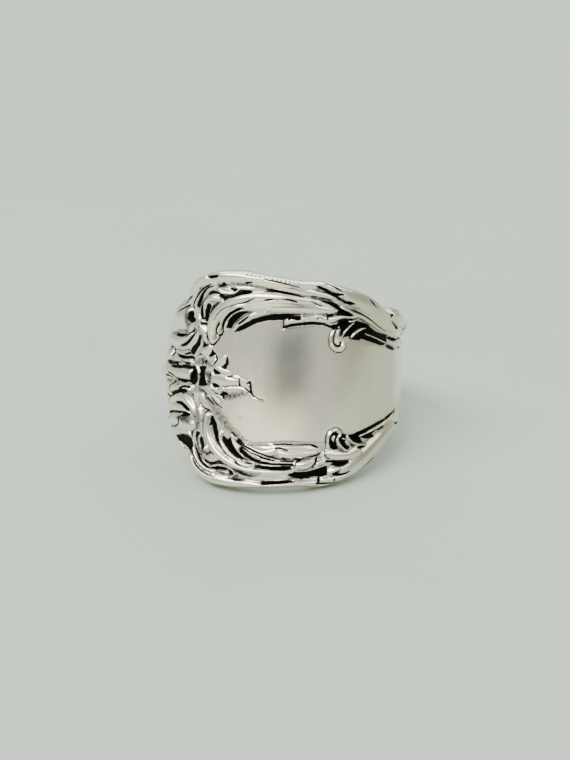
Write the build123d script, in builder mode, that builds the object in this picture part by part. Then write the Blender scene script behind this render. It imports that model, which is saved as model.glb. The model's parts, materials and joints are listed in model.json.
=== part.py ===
from build123d import *
import os
from math import cos, radians, sin

os.makedirs("parts", exist_ok=True)

# A spoon ring: the ornate handle of a spoon, bent once round the finger. It is shaped with the finger
# hole upright and the broad end facing -Y, and is then laid down as it rests by itself.

# Named sizes, in millimetres.
finger_diameter = 18.5
front_height = 20.0
ground_wall = 0.9
panel_rise = 0.32
relief_rise = 0.74
border_rise = 0.42
tip_border_rise = 0.36
scroll_width = 1.0
rim_round = 0.38
shaft_width = 5.8
shaft_wall = 1.7
shaft_round = 0.65
finger_ease = 0.25
eye_radius = 0.55
eye_wire_radius = 0.2
eye_bead_radius = 0.27

# Named shares. The roots are the parts of a plate and of a ridge that are sunk into the metal beneath, and
# a ridge's points end a little under the ground. The limits keep a rounded edge within a thin or low end.
plate_root = 0.5
ridge_root = 0.12
point_depth = 0.25
round_height_limit = 0.4
round_wall_limit = 0.6
# Where the round eye of each small volute sits: degrees, and a share of half the front's height.
eye_angle = 24.5
eye_height = 0.425

finger_radius = finger_diameter / 2
ground_radius = finger_radius + ground_wall
half_front = front_height / 2
half_shaft = shaft_width / 2

# The outline of the broad end, one row for each section. Angles run round the finger in degrees from the
# middle of the front and grow to the right. Above and below are shares of half the front's height.
# Columns: angle, above, below.
FRONT = (
    (-100.0, 0.085, 0.085),
    (-97.5, 0.125, 0.125),
    (-91.0, 0.170, 0.170),
    (-82.0, 0.230, 0.225),
    (-75.0, 0.340, 0.320),
    (-68.0, 0.490, 0.470),
    (-61.0, 0.620, 0.600),
    (-53.0, 0.780, 0.765),
    (-45.0, 0.905, 0.885),
    (-35.0, 0.975, 0.955),
    (-22.0, 1.000, 0.980),
    (-8.0, 0.980, 0.970),
    (8.0, 0.945, 0.950),
    (22.0, 0.930, 0.935),
    (34.0, 0.870, 0.850),
    (46.0, 0.765, 0.725),
    (59.0, 0.625, 0.600),
    (73.0, 0.535, 0.495),
)

# The plain shaft behind the finger: shares of half its width and of its wall.
# Columns: angle, half width, wall.
SHAFT = (
    (84.0, 1.48, 0.73),
    (96.0, 1.19, 0.84),
    (112.0, 1.05, 0.95),
    (134.0, 1.00, 1.00),
    (160.0, 1.00, 1.00),
    (186.0, 1.00, 1.00),
    (210.0, 1.00, 1.00),
    (230.0, 0.99, 0.96),
    (243.0, 0.93, 0.90),
    (249.5, 0.74, 0.86),
    (252.5, 0.48, 0.83),
)

# Flat plates stand on the ground: the smooth panel, in two lengths that meet in a step, and the borders
# that carry the scrolls. Bottom and top are shares of half the front's height.
# Columns: angle, bottom, top.
PANEL_LEFT = (
    (-47.0, -0.10, 0.10),
    (-40.0, -0.23, 0.23),
    (-33.0, -0.36, 0.34),
    (-25.0, -0.47, 0.42),
    (-15.0, -0.55, 0.50),
    (-1.0, -0.57, 0.545),
)
PANEL_RIGHT = (
    (-1.0, -0.57, 0.465),
    (10.0, -0.555, 0.495),
    (20.0, -0.510, 0.480),
    (30.0, -0.455, 0.400),
    (42.0, -0.400, 0.350),
    (58.0, -0.320, 0.285),
    (74.0, -0.260, 0.245),
    (88.0, -0.195, 0.195),
)
UPPER_BORDER = (
    (-46.0, 0.450, 0.820),
    (-38.0, 0.340, 0.900),
    (-31.0, 0.440, 0.930),
    (-22.0, 0.510, 0.950),
    (-12.0, 0.580, 0.940),
    (0.0, 0.600, 0.920),
    (10.0, 0.545, 0.900),
    (22.0, 0.520, 0.880),
    (32.0, 0.520, 0.840),
    (44.0, 0.500, 0.740),
    (58.0, 0.400, 0.590),
    (74.0, 0.330, 0.480),
)
TIP_BORDER = (
    (-96.0, -0.100, 0.100),
    (-86.0, -0.170, 0.170),
    (-76.0, -0.280, 0.290),
    (-67.0, -0.450, 0.470),
    (-58.0, -0.620, 0.640),
    (-51.0, -0.730, 0.750),
)

# The raised ridges, one row for each section. Height is a share of half the front's height, half width a
# share of the scroll's width, and rise a share of the relief's rise. The paired ridges stand above and
# below the middle, and the others lie on it.
# Columns: angle, height, half width, rise.
PAIRED_RIDGES = {
    "rim": (
        (-50, 0.760, 0.30, 0.5), (-44, 0.870, 0.42, 0.9), (-33, 0.925, 0.50, 1.0), (-18, 0.940, 0.50, 1.0),
        (-3, 0.915, 0.46, 1.0), (10, 0.890, 0.44, 1.0), (23, 0.875, 0.42, 0.9), (31, 0.835, 0.35, 0.7),
    ),
    "upper_band": (
        (-36, 0.740, 0.25, 0.5), (-27, 0.800, 0.40, 0.8), (-15, 0.825, 0.44, 0.8), (-2, 0.808, 0.42, 0.8),
        (10, 0.775, 0.38, 0.8), (24, 0.700, 0.33, 0.7),
    ),
    "outer_flute": (
        (-37, 0.310, 0.28, 0.6), (-39, 0.440, 0.46, 0.9), (-35, 0.600, 0.50, 1.0), (-27, 0.690, 0.46, 1.0),
        (-16, 0.735, 0.38, 1.0), (-2, 0.740, 0.32, 0.9), (12, 0.715, 0.25, 0.6),
    ),
    "second_flute": (
        (-33, 0.390, 0.22, 0.6), (-32, 0.510, 0.36, 0.9), (-26, 0.615, 0.40, 1.0), (-16, 0.675, 0.34, 1.0),
        (-6, 0.690, 0.25, 0.7),
    ),
    "third_flute": (
        (-28.5, 0.435, 0.20, 0.6), (-26, 0.535, 0.32, 0.9), (-20, 0.605, 0.34, 1.0), (-12, 0.635, 0.25, 0.7),
    ),
    "inner_flute": (
        (-24, 0.440, 0.16, 0.5), (-21, 0.515, 0.26, 0.8), (-15, 0.572, 0.28, 0.9), (-7, 0.605, 0.20, 0.7),
    ),
    "scroll_body": (
        (-18, 0.625, 0.28, 0.6), (-8, 0.650, 0.46, 0.9), (4, 0.650, 0.54, 1.0), (16, 0.628, 0.52, 1.0),
        (26, 0.590, 0.40, 0.8), (35, 0.555, 0.25, 0.5),
    ),
    "sweep": (
        (8, 0.805, 0.30, 0.5), (18, 0.780, 0.62, 0.7), (29, 0.745, 0.95, 0.8), (39, 0.680, 1.15, 0.9),
        (50, 0.580, 1.05, 0.9), (60, 0.500, 0.85, 0.9), (71, 0.445, 0.60, 0.8), (81, 0.390, 0.40, 0.6),
    ),
    "broad_lobe": (
        (-69, 0.370, 0.50, 0.6), (-64, 0.440, 0.95, 0.9), (-57, 0.515, 1.15, 1.0), (-51, 0.575, 0.70, 0.7),
    ),
    "middle_lobe": (
        (-75, 0.285, 0.25, 0.6), (-67, 0.290, 0.50, 0.9), (-58, 0.305, 0.50, 0.9), (-50, 0.400, 0.30, 0.7),
    ),
    "side_petal": (
        (-79, 0.200, 0.25, 0.6), (-70, 0.185, 0.45, 0.9), (-61, 0.160, 0.45, 0.9), (-51, 0.140, 0.28, 0.7),
    ),
    "knot": (
        (-52, 0.200, 0.20, 0.5), (-47, 0.290, 0.40, 0.8), (-43, 0.410, 0.30, 0.7),
    ),
    "edge_lobe": (
        (-57, 0.660, 0.30, 0.5), (-51.5, 0.735, 0.52, 0.9), (-46, 0.825, 0.50, 0.9), (-40, 0.860, 0.30, 0.6),
    ),
    "outer_comb": (
        (-50, 0.570, 0.18, 0.5), (-47.5, 0.690, 0.24, 0.9), (-41, 0.790, 0.26, 1.0), (-32, 0.850, 0.20, 0.7),
    ),
    "inner_comb": (
        (-47, 0.510, 0.18, 0.5), (-45.5, 0.640, 0.24, 0.9), (-39.5, 0.740, 0.26, 1.0),
        (-32, 0.795, 0.20, 0.7),
    ),
    "hook": (
        (-43, 0.470, 0.18, 0.5), (-43, 0.570, 0.27, 0.9), (-39, 0.670, 0.29, 1.0), (-33, 0.730, 0.22, 0.7),
    ),
    "lip": (
        (2, 0.520, 0.15, 0.6), (10, 0.545, 0.20, 0.9), (20, 0.535, 0.22, 0.9), (29, 0.520, 0.22, 0.8),
        (37, 0.535, 0.16, 0.6),
    ),
    "small_leaf": (
        (27.5, 0.385, 0.15, 0.5), (30, 0.460, 0.28, 0.9), (35.5, 0.500, 0.22, 0.7),
    ),
    "long_leaf": (
        (32.5, 0.370, 0.15, 0.5), (37, 0.432, 0.28, 0.9), (45, 0.450, 0.22, 0.7),
    ),
    "rail": (
        (39, 0.405, 0.16, 0.6), (49, 0.370, 0.20, 0.8), (60, 0.312, 0.20, 0.8), (74, 0.275, 0.16, 0.6),
    ),
    "low_petal": ((-43.5, 0.060, 0.18, 0.6), (-35.5, 0.082, 0.32, 0.9), (-27, 0.080, 0.18, 0.5)),
    "mid_petal": ((-44, 0.090, 0.18, 0.6), (-36.5, 0.158, 0.34, 0.9), (-29, 0.200, 0.18, 0.5)),
    "high_petal": ((-45, 0.120, 0.18, 0.6), (-41, 0.205, 0.34, 0.9), (-37, 0.285, 0.18, 0.5)),
}
MIDDLE_RIDGES = {
    "tongue": ((-94, 0.0, 0.35, 0.6), (-81, 0.0, 0.62, 0.9), (-65, 0.0, 0.58, 1.0), (-52, 0.0, 0.42, 0.8)),
    "long_petal": (
        (-42, 0.0, 0.30, 0.7), (-32, 0.0, 0.44, 1.0), (-23, 0.0, 0.42, 0.9), (-17, 0.0, 0.20, 0.5),
    ),
    "crescent": (
        (-49, 0.100, 0.12, 0.6), (-46, 0.065, 0.16, 0.9), (-44.8, 0.0, 0.17, 1.0), (-46, -0.065, 0.16, 0.9),
        (-49, -0.100, 0.12, 0.6),
    ),
}


def outward(angle):
    """The direction that points straight out of the ring at this angle."""
    return Vector(sin(radians(angle)), -cos(radians(angle)), 0)


def on_ground(angle, height):
    """A point on the ground of the relief."""
    return outward(angle) * ground_radius + Vector(0, 0, height)


def across(angle):
    """The plane through the ring's axis at this angle: x runs outward and y runs up."""
    out = outward(angle)
    return Plane(origin=(0, 0, 0), x_dir=out, z_dir=out.cross(Vector(0, 0, 1)))


def band_section(angle, above, below, wall, corner):
    """One section of the band, with eased edges at the finger and rounded edges outside."""
    inside = finger_radius - finger_ease
    eased = finger_radius + finger_ease
    outside = finger_radius + wall
    bend = min(corner, round_height_limit * above, round_wall_limit * (wall - finger_ease))
    with BuildSketch(across(angle)) as profile:
        with BuildLine():
            Line((inside, 2 * finger_ease - below), (inside, above - 2 * finger_ease))
            Line((inside, above - 2 * finger_ease), (eased, above))
            Line((eased, above), (outside - bend, above))
            RadiusArc((outside - bend, above), (outside, above - bend), bend)
            Line((outside, above - bend), (outside, bend - below))
            RadiusArc((outside, bend - below), (outside - bend, -below), bend)
            Line((outside - bend, -below), (eased, -below))
            Line((eased, -below), (inside, 2 * finger_ease - below))
        make_face()
    return profile.sketch


def plate(rows, rise, side=1):
    """A plate that stands on the ground with a crisp edge. It starts inside the band's wall."""
    root = ground_radius - plate_root * ground_wall
    face = ground_radius + rise
    slices = []
    for angle, bottom, top in rows:
        low, high = sorted((side * bottom * half_front, side * top * half_front))
        with BuildSketch(across(angle)) as profile:
            with BuildLine():
                Polyline((root, low), (face, low), (face, high), (root, high), close=True)
            make_face()
        slices.append(profile.sketch)
    with BuildPart() as standing:
        loft(slices)
    return standing.part


def ridge(rows, side=1):
    """A raised ridge: oval sections along a path on the ground, pointed at both ends."""
    path = [on_ground(angle, side * height * half_front) for angle, height, half_width, rise in rows]
    last = len(rows) - 1
    ovals = []
    for number, (angle, height, half_width, rise) in enumerate(rows):
        out = outward(angle)
        along = path[min(number + 1, last)] - path[max(number - 1, 0)]
        along -= out * along.dot(out)
        crest = rise * relief_rise
        root = ridge_root * crest
        with BuildSketch(Plane(origin=path[number] - out * root, x_dir=out, z_dir=along)) as oval:
            Ellipse(crest + root, half_width * scroll_width)
        ovals.append(oval.sketch)
    points = []
    for end, inner in ((0, 1), (last, last - 1)):
        angle, height, half_width, rise = rows[end]
        beyond = (path[end] - path[inner]).normalized() * half_width * scroll_width
        under = outward(angle) * point_depth * relief_rise
        points.append(Vertex(*(path[end] + beyond - under)))
    with BuildPart() as raised:
        loft([points[0], *ovals, points[1]])
    return raised.part


def volute_eye(side):
    """The small ring with a bead in it where the scroll ends beside the panel."""
    out = outward(eye_angle)
    centre = on_ground(eye_angle, side * eye_height * half_front) + out * panel_rise
    with BuildPart(Plane(origin=centre, x_dir=(0, 0, 1), z_dir=out)) as eye:
        Torus(eye_radius, eye_wire_radius)
        Sphere(eye_bead_radius)
    return eye.part


def resting_plane(centre, pieces):
    """The floor under the ring as it rests by itself, seen from the ring while that is upright.

    At rest the centre of mass lies as low as it can. The search starts from a likely lean, steps to the
    neighbour with the lowest centre, and halves its step where none is lower.
    """
    tolerance = 0.05
    turn = 0.4
    points = [point for piece in pieces for point in piece.tessellate(tolerance, turn)[0]]

    def upward(lean, roll):
        return Vector(sin(radians(roll)), -sin(radians(lean)), cos(radians(lean))).normalized()

    def height(lean, roll):
        up = upward(lean, roll)
        return centre.dot(up) - min(point.dot(up) for point in points)

    lean = 15.0
    roll = 0.0
    step = 4.0
    finest = 0.01
    lowest = height(lean, roll)
    while step > finest:
        around = [(lean + a * step, roll + b * step) for a in (-1, 0, 1) for b in (-1, 0, 1)]
        best = min(around, key=lambda pose: height(*pose))
        if height(*best) < lowest - 1e-7:
            lean, roll = best
            lowest = height(lean, roll)
        else:
            step /= 2
    up = upward(lean, roll)
    back = Vector(0, 1, 0) - up * up.Y
    return Plane(origin=centre - up * lowest, x_dir=back.cross(up), z_dir=up)


sections = [
    band_section(angle, above * half_front, below * half_front, ground_wall, rim_round)
    for angle, above, below in FRONT
]
sections += [
    band_section(angle, half * half_shaft, half * half_shaft, wall * shaft_wall, shaft_round)
    for angle, half, wall in SHAFT
]
plates = [plate(PANEL_LEFT, panel_rise), plate(PANEL_RIGHT, panel_rise)]
plates += [plate(UPPER_BORDER, border_rise, side) for side in (1, -1)]
plates += [plate(TIP_BORDER, tip_border_rise)]
relief = [ridge(rows, side) for rows in PAIRED_RIDGES.values() for side in (1, -1)]
relief += [ridge(rows) for rows in MIDDLE_RIDGES.values()]
relief += [volute_eye(side) for side in (1, -1)]

# The bare band: the ground of the broad end and the shaft behind the finger, in one smooth loft.
with BuildPart() as band:
    loft(sections)

# The whole ring, still upright: the band with its panel and relief, bored for the finger.
with BuildPart() as upright:
    add([band.part, *plates, *relief])
    Cylinder(finger_radius, 2 * front_height, mode=Mode.SUBTRACT)

# The ring as it rests, with the middle of its bounding box over the origin and its lowest point at Z = 0.
floor = resting_plane(upright.part.center(CenterOf.MASS), [band.part, *plates, *relief])
laid = upright.part.moved(floor.location.inverse())
box = laid.bounding_box()
with BuildPart() as ring_band:
    add(laid.moved(Location((-box.center().X, -box.center().Y, -box.min.Z))))

ring_band.part.label = "ring_band"
export_step(ring_band.part, "parts/ring_band.step")
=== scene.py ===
import json
from math import cos, radians, sin

import bmesh
import bpy
import numpy as np
from mathutils import Matrix, Vector


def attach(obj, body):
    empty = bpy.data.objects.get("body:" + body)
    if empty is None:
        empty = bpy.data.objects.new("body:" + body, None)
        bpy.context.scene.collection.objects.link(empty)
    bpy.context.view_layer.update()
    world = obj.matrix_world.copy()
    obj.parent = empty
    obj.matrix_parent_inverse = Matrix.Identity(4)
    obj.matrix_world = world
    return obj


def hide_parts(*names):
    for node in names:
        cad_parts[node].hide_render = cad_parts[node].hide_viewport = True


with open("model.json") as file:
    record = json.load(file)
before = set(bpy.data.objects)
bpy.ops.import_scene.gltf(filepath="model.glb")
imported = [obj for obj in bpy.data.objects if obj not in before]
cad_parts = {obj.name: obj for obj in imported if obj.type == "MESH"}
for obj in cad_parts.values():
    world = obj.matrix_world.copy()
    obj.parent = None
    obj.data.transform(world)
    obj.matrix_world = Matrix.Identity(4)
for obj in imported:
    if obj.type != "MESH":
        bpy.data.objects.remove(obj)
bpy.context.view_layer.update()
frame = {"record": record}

# The bent blank. The real piece is the handle of a silver-plated spoon, cut off and bent once round
# a mandrel, so its broad end is the face and its plain shaft passes behind the finger. Lengths are
# in millimetres: along runs round the face from its middle, and up runs along the finger.
finger_radius = 9.25
face_wall = 0.9
relief_base = 0.2
ground_radius = finger_radius + face_wall + relief_base

# From the tip of the broad end to the end of the shaft. Columns: degrees round the finger, half the
# width above the middle, half the width below it, wall.
BLANK = (
    (-100.0, 0.85, 0.85, 0.9),
    (-98.0, 1.25, 1.25, 0.9),
    (-92.0, 1.70, 1.70, 0.9),
    (-84.0, 2.30, 2.25, 0.9),
    (-79.0, 3.40, 3.20, 0.9),
    (-72.5, 4.90, 5.10, 0.9),
    (-66.5, 6.05, 6.30, 0.9),
    (-61.0, 6.75, 6.98, 0.9),
    (-56.2, 7.15, 7.65, 0.9),
    (-54.5, 7.75, 7.95, 0.9),
    (-51.2, 8.60, 8.42, 0.9),
    (-44.8, 9.05, 8.86, 0.9),
    (-37.2, 9.42, 9.46, 0.9),
    (-30.7, 9.58, 9.62, 0.9),
    (-23.2, 9.58, 9.66, 0.9),
    (-14.7, 9.38, 9.62, 0.9),
    (-8.4, 9.20, 9.54, 0.9),
    (0.0, 8.99, 9.47, 0.9),
    (8.4, 8.80, 9.42, 0.9),
    (15.7, 8.80, 9.45, 0.9),
    (23.1, 8.62, 9.30, 0.9),
    (29.4, 8.30, 8.90, 0.9),
    (35.8, 8.00, 8.50, 0.9),
    (48.6, 7.15, 7.25, 0.9),
    (56.2, 6.05, 6.55, 0.9),
    (60.0, 6.00, 6.15, 0.9),
    (66.0, 6.25, 5.65, 0.9),
    (78.0, 6.05, 4.95, 0.95),
    (88.0, 4.60, 4.29, 1.24),
    (97.0, 3.45, 3.45, 1.43),
    (112.0, 3.05, 3.05, 1.62),
    (134.0, 2.88, 2.86, 1.66),
    (160.0, 2.88, 2.83, 1.66),
    (186.0, 2.88, 2.83, 1.66),
    (210.0, 2.88, 2.86, 1.66),
    (230.0, 2.87, 2.87, 1.63),
    (243.0, 2.70, 2.70, 1.53),
    (249.5, 2.15, 2.15, 1.46),
    (252.5, 1.39, 1.39, 1.41),
)

# Loops of the mesh are close together where the relief is, and wide apart on the shaft.
# Columns: degrees round the finger where a stretch starts, degrees between its loops.
LOOPS = (
    (-100.0, 1.4),
    (-86.0, 0.4),
    (-28.0, 0.5),
    (12.0, 0.45),
    (34.0, 0.55),
    (64.0, 1.05),
    (73.5, 0.5),
    (80.0, 1.25),
    (90.0, 6.0),
    (248.0, 0.75),
)
shaft_end = BLANK[-1][0]


def smooth_columns(rows, at):
    """The columns of a table at new places along its first column, without waves between rows."""
    table = np.array(rows, float)
    place = table[:, 0]
    step = np.diff(place)
    found = []
    for column in table[:, 1:].T:
        slope = np.diff(column) / step
        lean = np.concatenate([[slope[0]], 0.5 * (slope[1:] + slope[:-1]), [slope[-1]]])
        flat = slope[1:] * slope[:-1] <= 0
        lean[1:-1][flat] = 0
        number = np.clip(np.searchsorted(place, at, side="right") - 1, 0, len(step) - 1)
        t = (at - place[number]) / step[number]
        low, high = column[number], column[number + 1]
        found.append(
            low * (1 + 2 * t) * (1 - t) ** 2
            + high * t * t * (3 - 2 * t)
            + step[number] * t * (1 - t) * (lean[number] * (1 - t) - lean[number + 1] * t)
        )
    return found


stretches = zip(LOOPS, LOOPS[1:] + ((shaft_end, 0),))
turns = [np.arange(start, stop, step) for (start, step), (stop, _) in stretches]
turns = np.concatenate(turns + [[shaft_end]])
above, below, wall = smooth_columns(BLANK, turns)


# The face before it is struck: a smooth crowned panel with a soft bevel and a step in its upper
# edge, in one metal with all that is round it. It is worked out as heights on a fine net of places
# that covers the face, and the ground of the scrolls lies lower than the panel.
net_step = 0.04
net_along = np.arange(-19.6, 17.6, net_step)
net_up = np.arange(-10.3, 10.3, net_step)
scroll_ground = 0.20
panel_rise = 0.36
panel_crown = 0.24
panel_half_height = 5.5
panel_bevel = 0.10

# Columns: along, bottom, top.
PANEL = (
    (-7.9, -2.45, 2.35),
    (-7.3, -2.95, 2.80),
    (-6.5, -3.75, 3.45),
    (-5.8, -4.30, 4.25),
    (-5.0, -4.62, 4.44),
    (-4.5, -4.95, 4.44),
    (-3.8, -5.40, 4.72),
    (-2.8, -5.72, 5.10),
    (-1.5, -5.66, 5.40),
    (-0.3, -5.52, 5.50),
    (-0.15, -5.50, 4.62),
    (1.0, -5.52, 4.86),
    (2.0, -5.58, 4.96),
    (3.2, -5.66, 4.90),
    (4.0, -5.55, 4.60),
    (4.6, -4.20, 3.30),
    (5.4, -4.20, 3.30),
    (6.1, -4.62, 3.72),
    (7.2, -4.55, 3.50),
    (9.0, -4.10, 3.20),
    (10.6, -3.62, 2.86),
    (12.0, -3.20, 2.45),
    (14.0, -2.75, 2.35),
    (17.5, -2.30, 2.20),
)


def ramp(distance, width):
    """Rises evenly from 0 to 1 over this width."""
    return np.clip(distance / width, 0, 1)


ALONG, UP = np.meshgrid(net_along, net_up, indexing="ij")
panel_along, panel_bottom, panel_top = np.array(PANEL).T
panel_low = np.interp(net_along, panel_along, panel_bottom)[:, None]
panel_high = np.interp(net_along, panel_along, panel_top)[:, None]
inside_panel = np.minimum(UP - panel_low, panel_high - UP)
inside_panel = np.minimum(inside_panel, ALONG - panel_along[0])
panel_share = ramp(inside_panel, panel_bevel)
panel_share = panel_share * panel_share * (3 - 2 * panel_share)
panel_face = panel_rise - panel_crown * (UP / panel_half_height) ** 2


# The scrolls above the panel. On the real handle they are struck with it, in the same metal: a
# milled rim, long flutes, curled lobes and leaves. The pockets between them are punched deep and
# the thin dark lines are chased. Soft brown marks are laid on as well: some are tarnish stains, and
# some are painted shade on slopes and beside the forms.
path_parts = 5
least_length = 1e-9
form_fullness = 0.4
rib_spread = 0.02
line_spread = 0.03
line_least_depth = 0.06
line_depth_by_width = 2.0
line_black_by_depth = 7.0
line_black_core = 2.5
stain_and_shade_strength = 1.4

# What is worked into the face, each as a field on the net: the height of the broad forms and of the
# thin ribs, the share of a pocket, the depth cut away, the share of black, and that of brown stain
# and painted shade.
forms = scroll_ground + (panel_face - scroll_ground) * panel_share
fine, pocket, cut, black, stained_and_shaded = (np.zeros(forms.shape) for _ in range(5))


def spaced_path(rows):
    """Even points of a smooth path through the rows, with every other column carried along."""
    knots = np.array(rows, float)
    ends = np.vstack([2 * knots[0] - knots[1], knots, 2 * knots[-1] - knots[-2]])
    share = np.linspace(0, 1, path_parts, endpoint=False)[:, None]
    pieces = []
    for before, start, stop, after in zip(ends, ends[1:], ends[2:], ends[3:]):
        bend = 2 * before - 5 * start + 4 * stop - after
        turn = 3 * (start - stop) + after - before
        pieces.append(start + 0.5 * share * (stop - before + share * (bend + share * turn)))
    return np.vstack(pieces + [knots[-1:]])


def nearest_on(rows):
    """Where a path passes over the net, patch by patch: share of its half width away, and rise."""
    path = spaced_path(rows)
    for start, stop in zip(path, path[1:]):
        reach = max(start[2], stop[2]) + net_step
        low = np.minimum(start[:2], stop[:2]) - reach
        high = np.maximum(start[:2], stop[:2]) + reach
        a = slice(*np.searchsorted(net_along, (low[0], high[0])))
        u = slice(*np.searchsorted(net_up, (low[1], high[1])))
        from_along, from_up = ALONG[a, u] - start[0], UP[a, u] - start[1]
        across = stop[:2] - start[:2]
        length = max(across @ across, least_length)
        t = np.clip((from_along * across[0] + from_up * across[1]) / length, 0, 1)
        off = np.hypot(from_along - t * across[0], from_up - t * across[1])
        half_width = start[2] + t * (stop[2] - start[2])
        rise = start[3] + t * (stop[3] - start[3])
        yield (a, u), np.clip(off / half_width, 0, 1), rise


def raise_metal(field, rows, side, wider):
    """Raises a rounded form along a path. Side is -1 for the lower half of the face."""
    rows = [(along, side * up, half_width + wider, rise) for along, up, half_width, rise in rows]
    for patch, share, rise in nearest_on(rows):
        swelling = np.where(share < 1, rise * (1 - share**2) ** form_fullness, 0)
        field[patch] = np.maximum(field[patch], swelling)


def strike(rows, side):
    """Raises one broad rounded form."""
    raise_metal(forms, rows, side, 0)


def raise_rib(rows, side):
    """Raises one thin, crisp rib, which also stands up out of a pocket."""
    raise_metal(fine, rows, side, rib_spread)


def sink(corners, side):
    """Marks the places inside an outline, which are punched down to the ground of the scrolls."""
    corners = np.array(corners, float) * (1, side)
    lowest, highest = corners.min(axis=0), corners.max(axis=0)
    a = slice(*np.searchsorted(net_along, (lowest[0], highest[0])))
    u = slice(*np.searchsorted(net_up, (lowest[1], highest[1])))
    inside = np.zeros(ALONG[a, u].shape, bool)
    for (x0, y0), (x1, y1) in zip(corners, np.roll(corners, -1, axis=0)):
        if y0 != y1:
            crossed = (y0 > UP[a, u]) != (y1 > UP[a, u])
            inside ^= crossed & (ALONG[a, u] < x0 + (UP[a, u] - y0) * (x1 - x0) / (y1 - y0))
    pocket[a, u] = np.maximum(pocket[a, u], inside)


def chase(rows, side):
    """Cuts one dark line along a path, deeper and blacker where it is wider."""
    path = []
    for along, up, half_width in rows:
        depth = line_least_depth + line_depth_by_width * half_width
        path.append((along, side * up, half_width + line_spread, depth))
    for patch, share, depth in nearest_on(path):
        cut[patch] = np.maximum(cut[patch], depth * (1 - share**2))
        core = np.clip(line_black_core * (1 - share), 0, 1)
        black[patch] = np.maximum(black[patch], core * np.clip(line_black_by_depth * depth, 0, 1))


def stain_and_shade(rows, side):
    """Lays one soft brown mark along a path. It is used both for tarnish stains and for painted
    shade.
    """
    rows = [(along, side * up, half_width, dark) for along, up, half_width, dark in rows]
    for patch, share, dark in nearest_on(rows):
        stained_and_shaded[patch] = np.maximum(stained_and_shaded[patch], stain_and_shade_strength * dark * (1 - share**2))


def work_metal(shapes, stains_and_shade, pockets, ribs, lines, side=1):
    """Works one part of the face, with each tool in its turn."""
    tools = (strike, stain_and_shade, sink, raise_rib, chase)
    for tool, table in zip(tools, (shapes, stains_and_shade, pockets, ribs, lines)):
        for rows in table.values():
            tool(rows, side)


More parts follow.
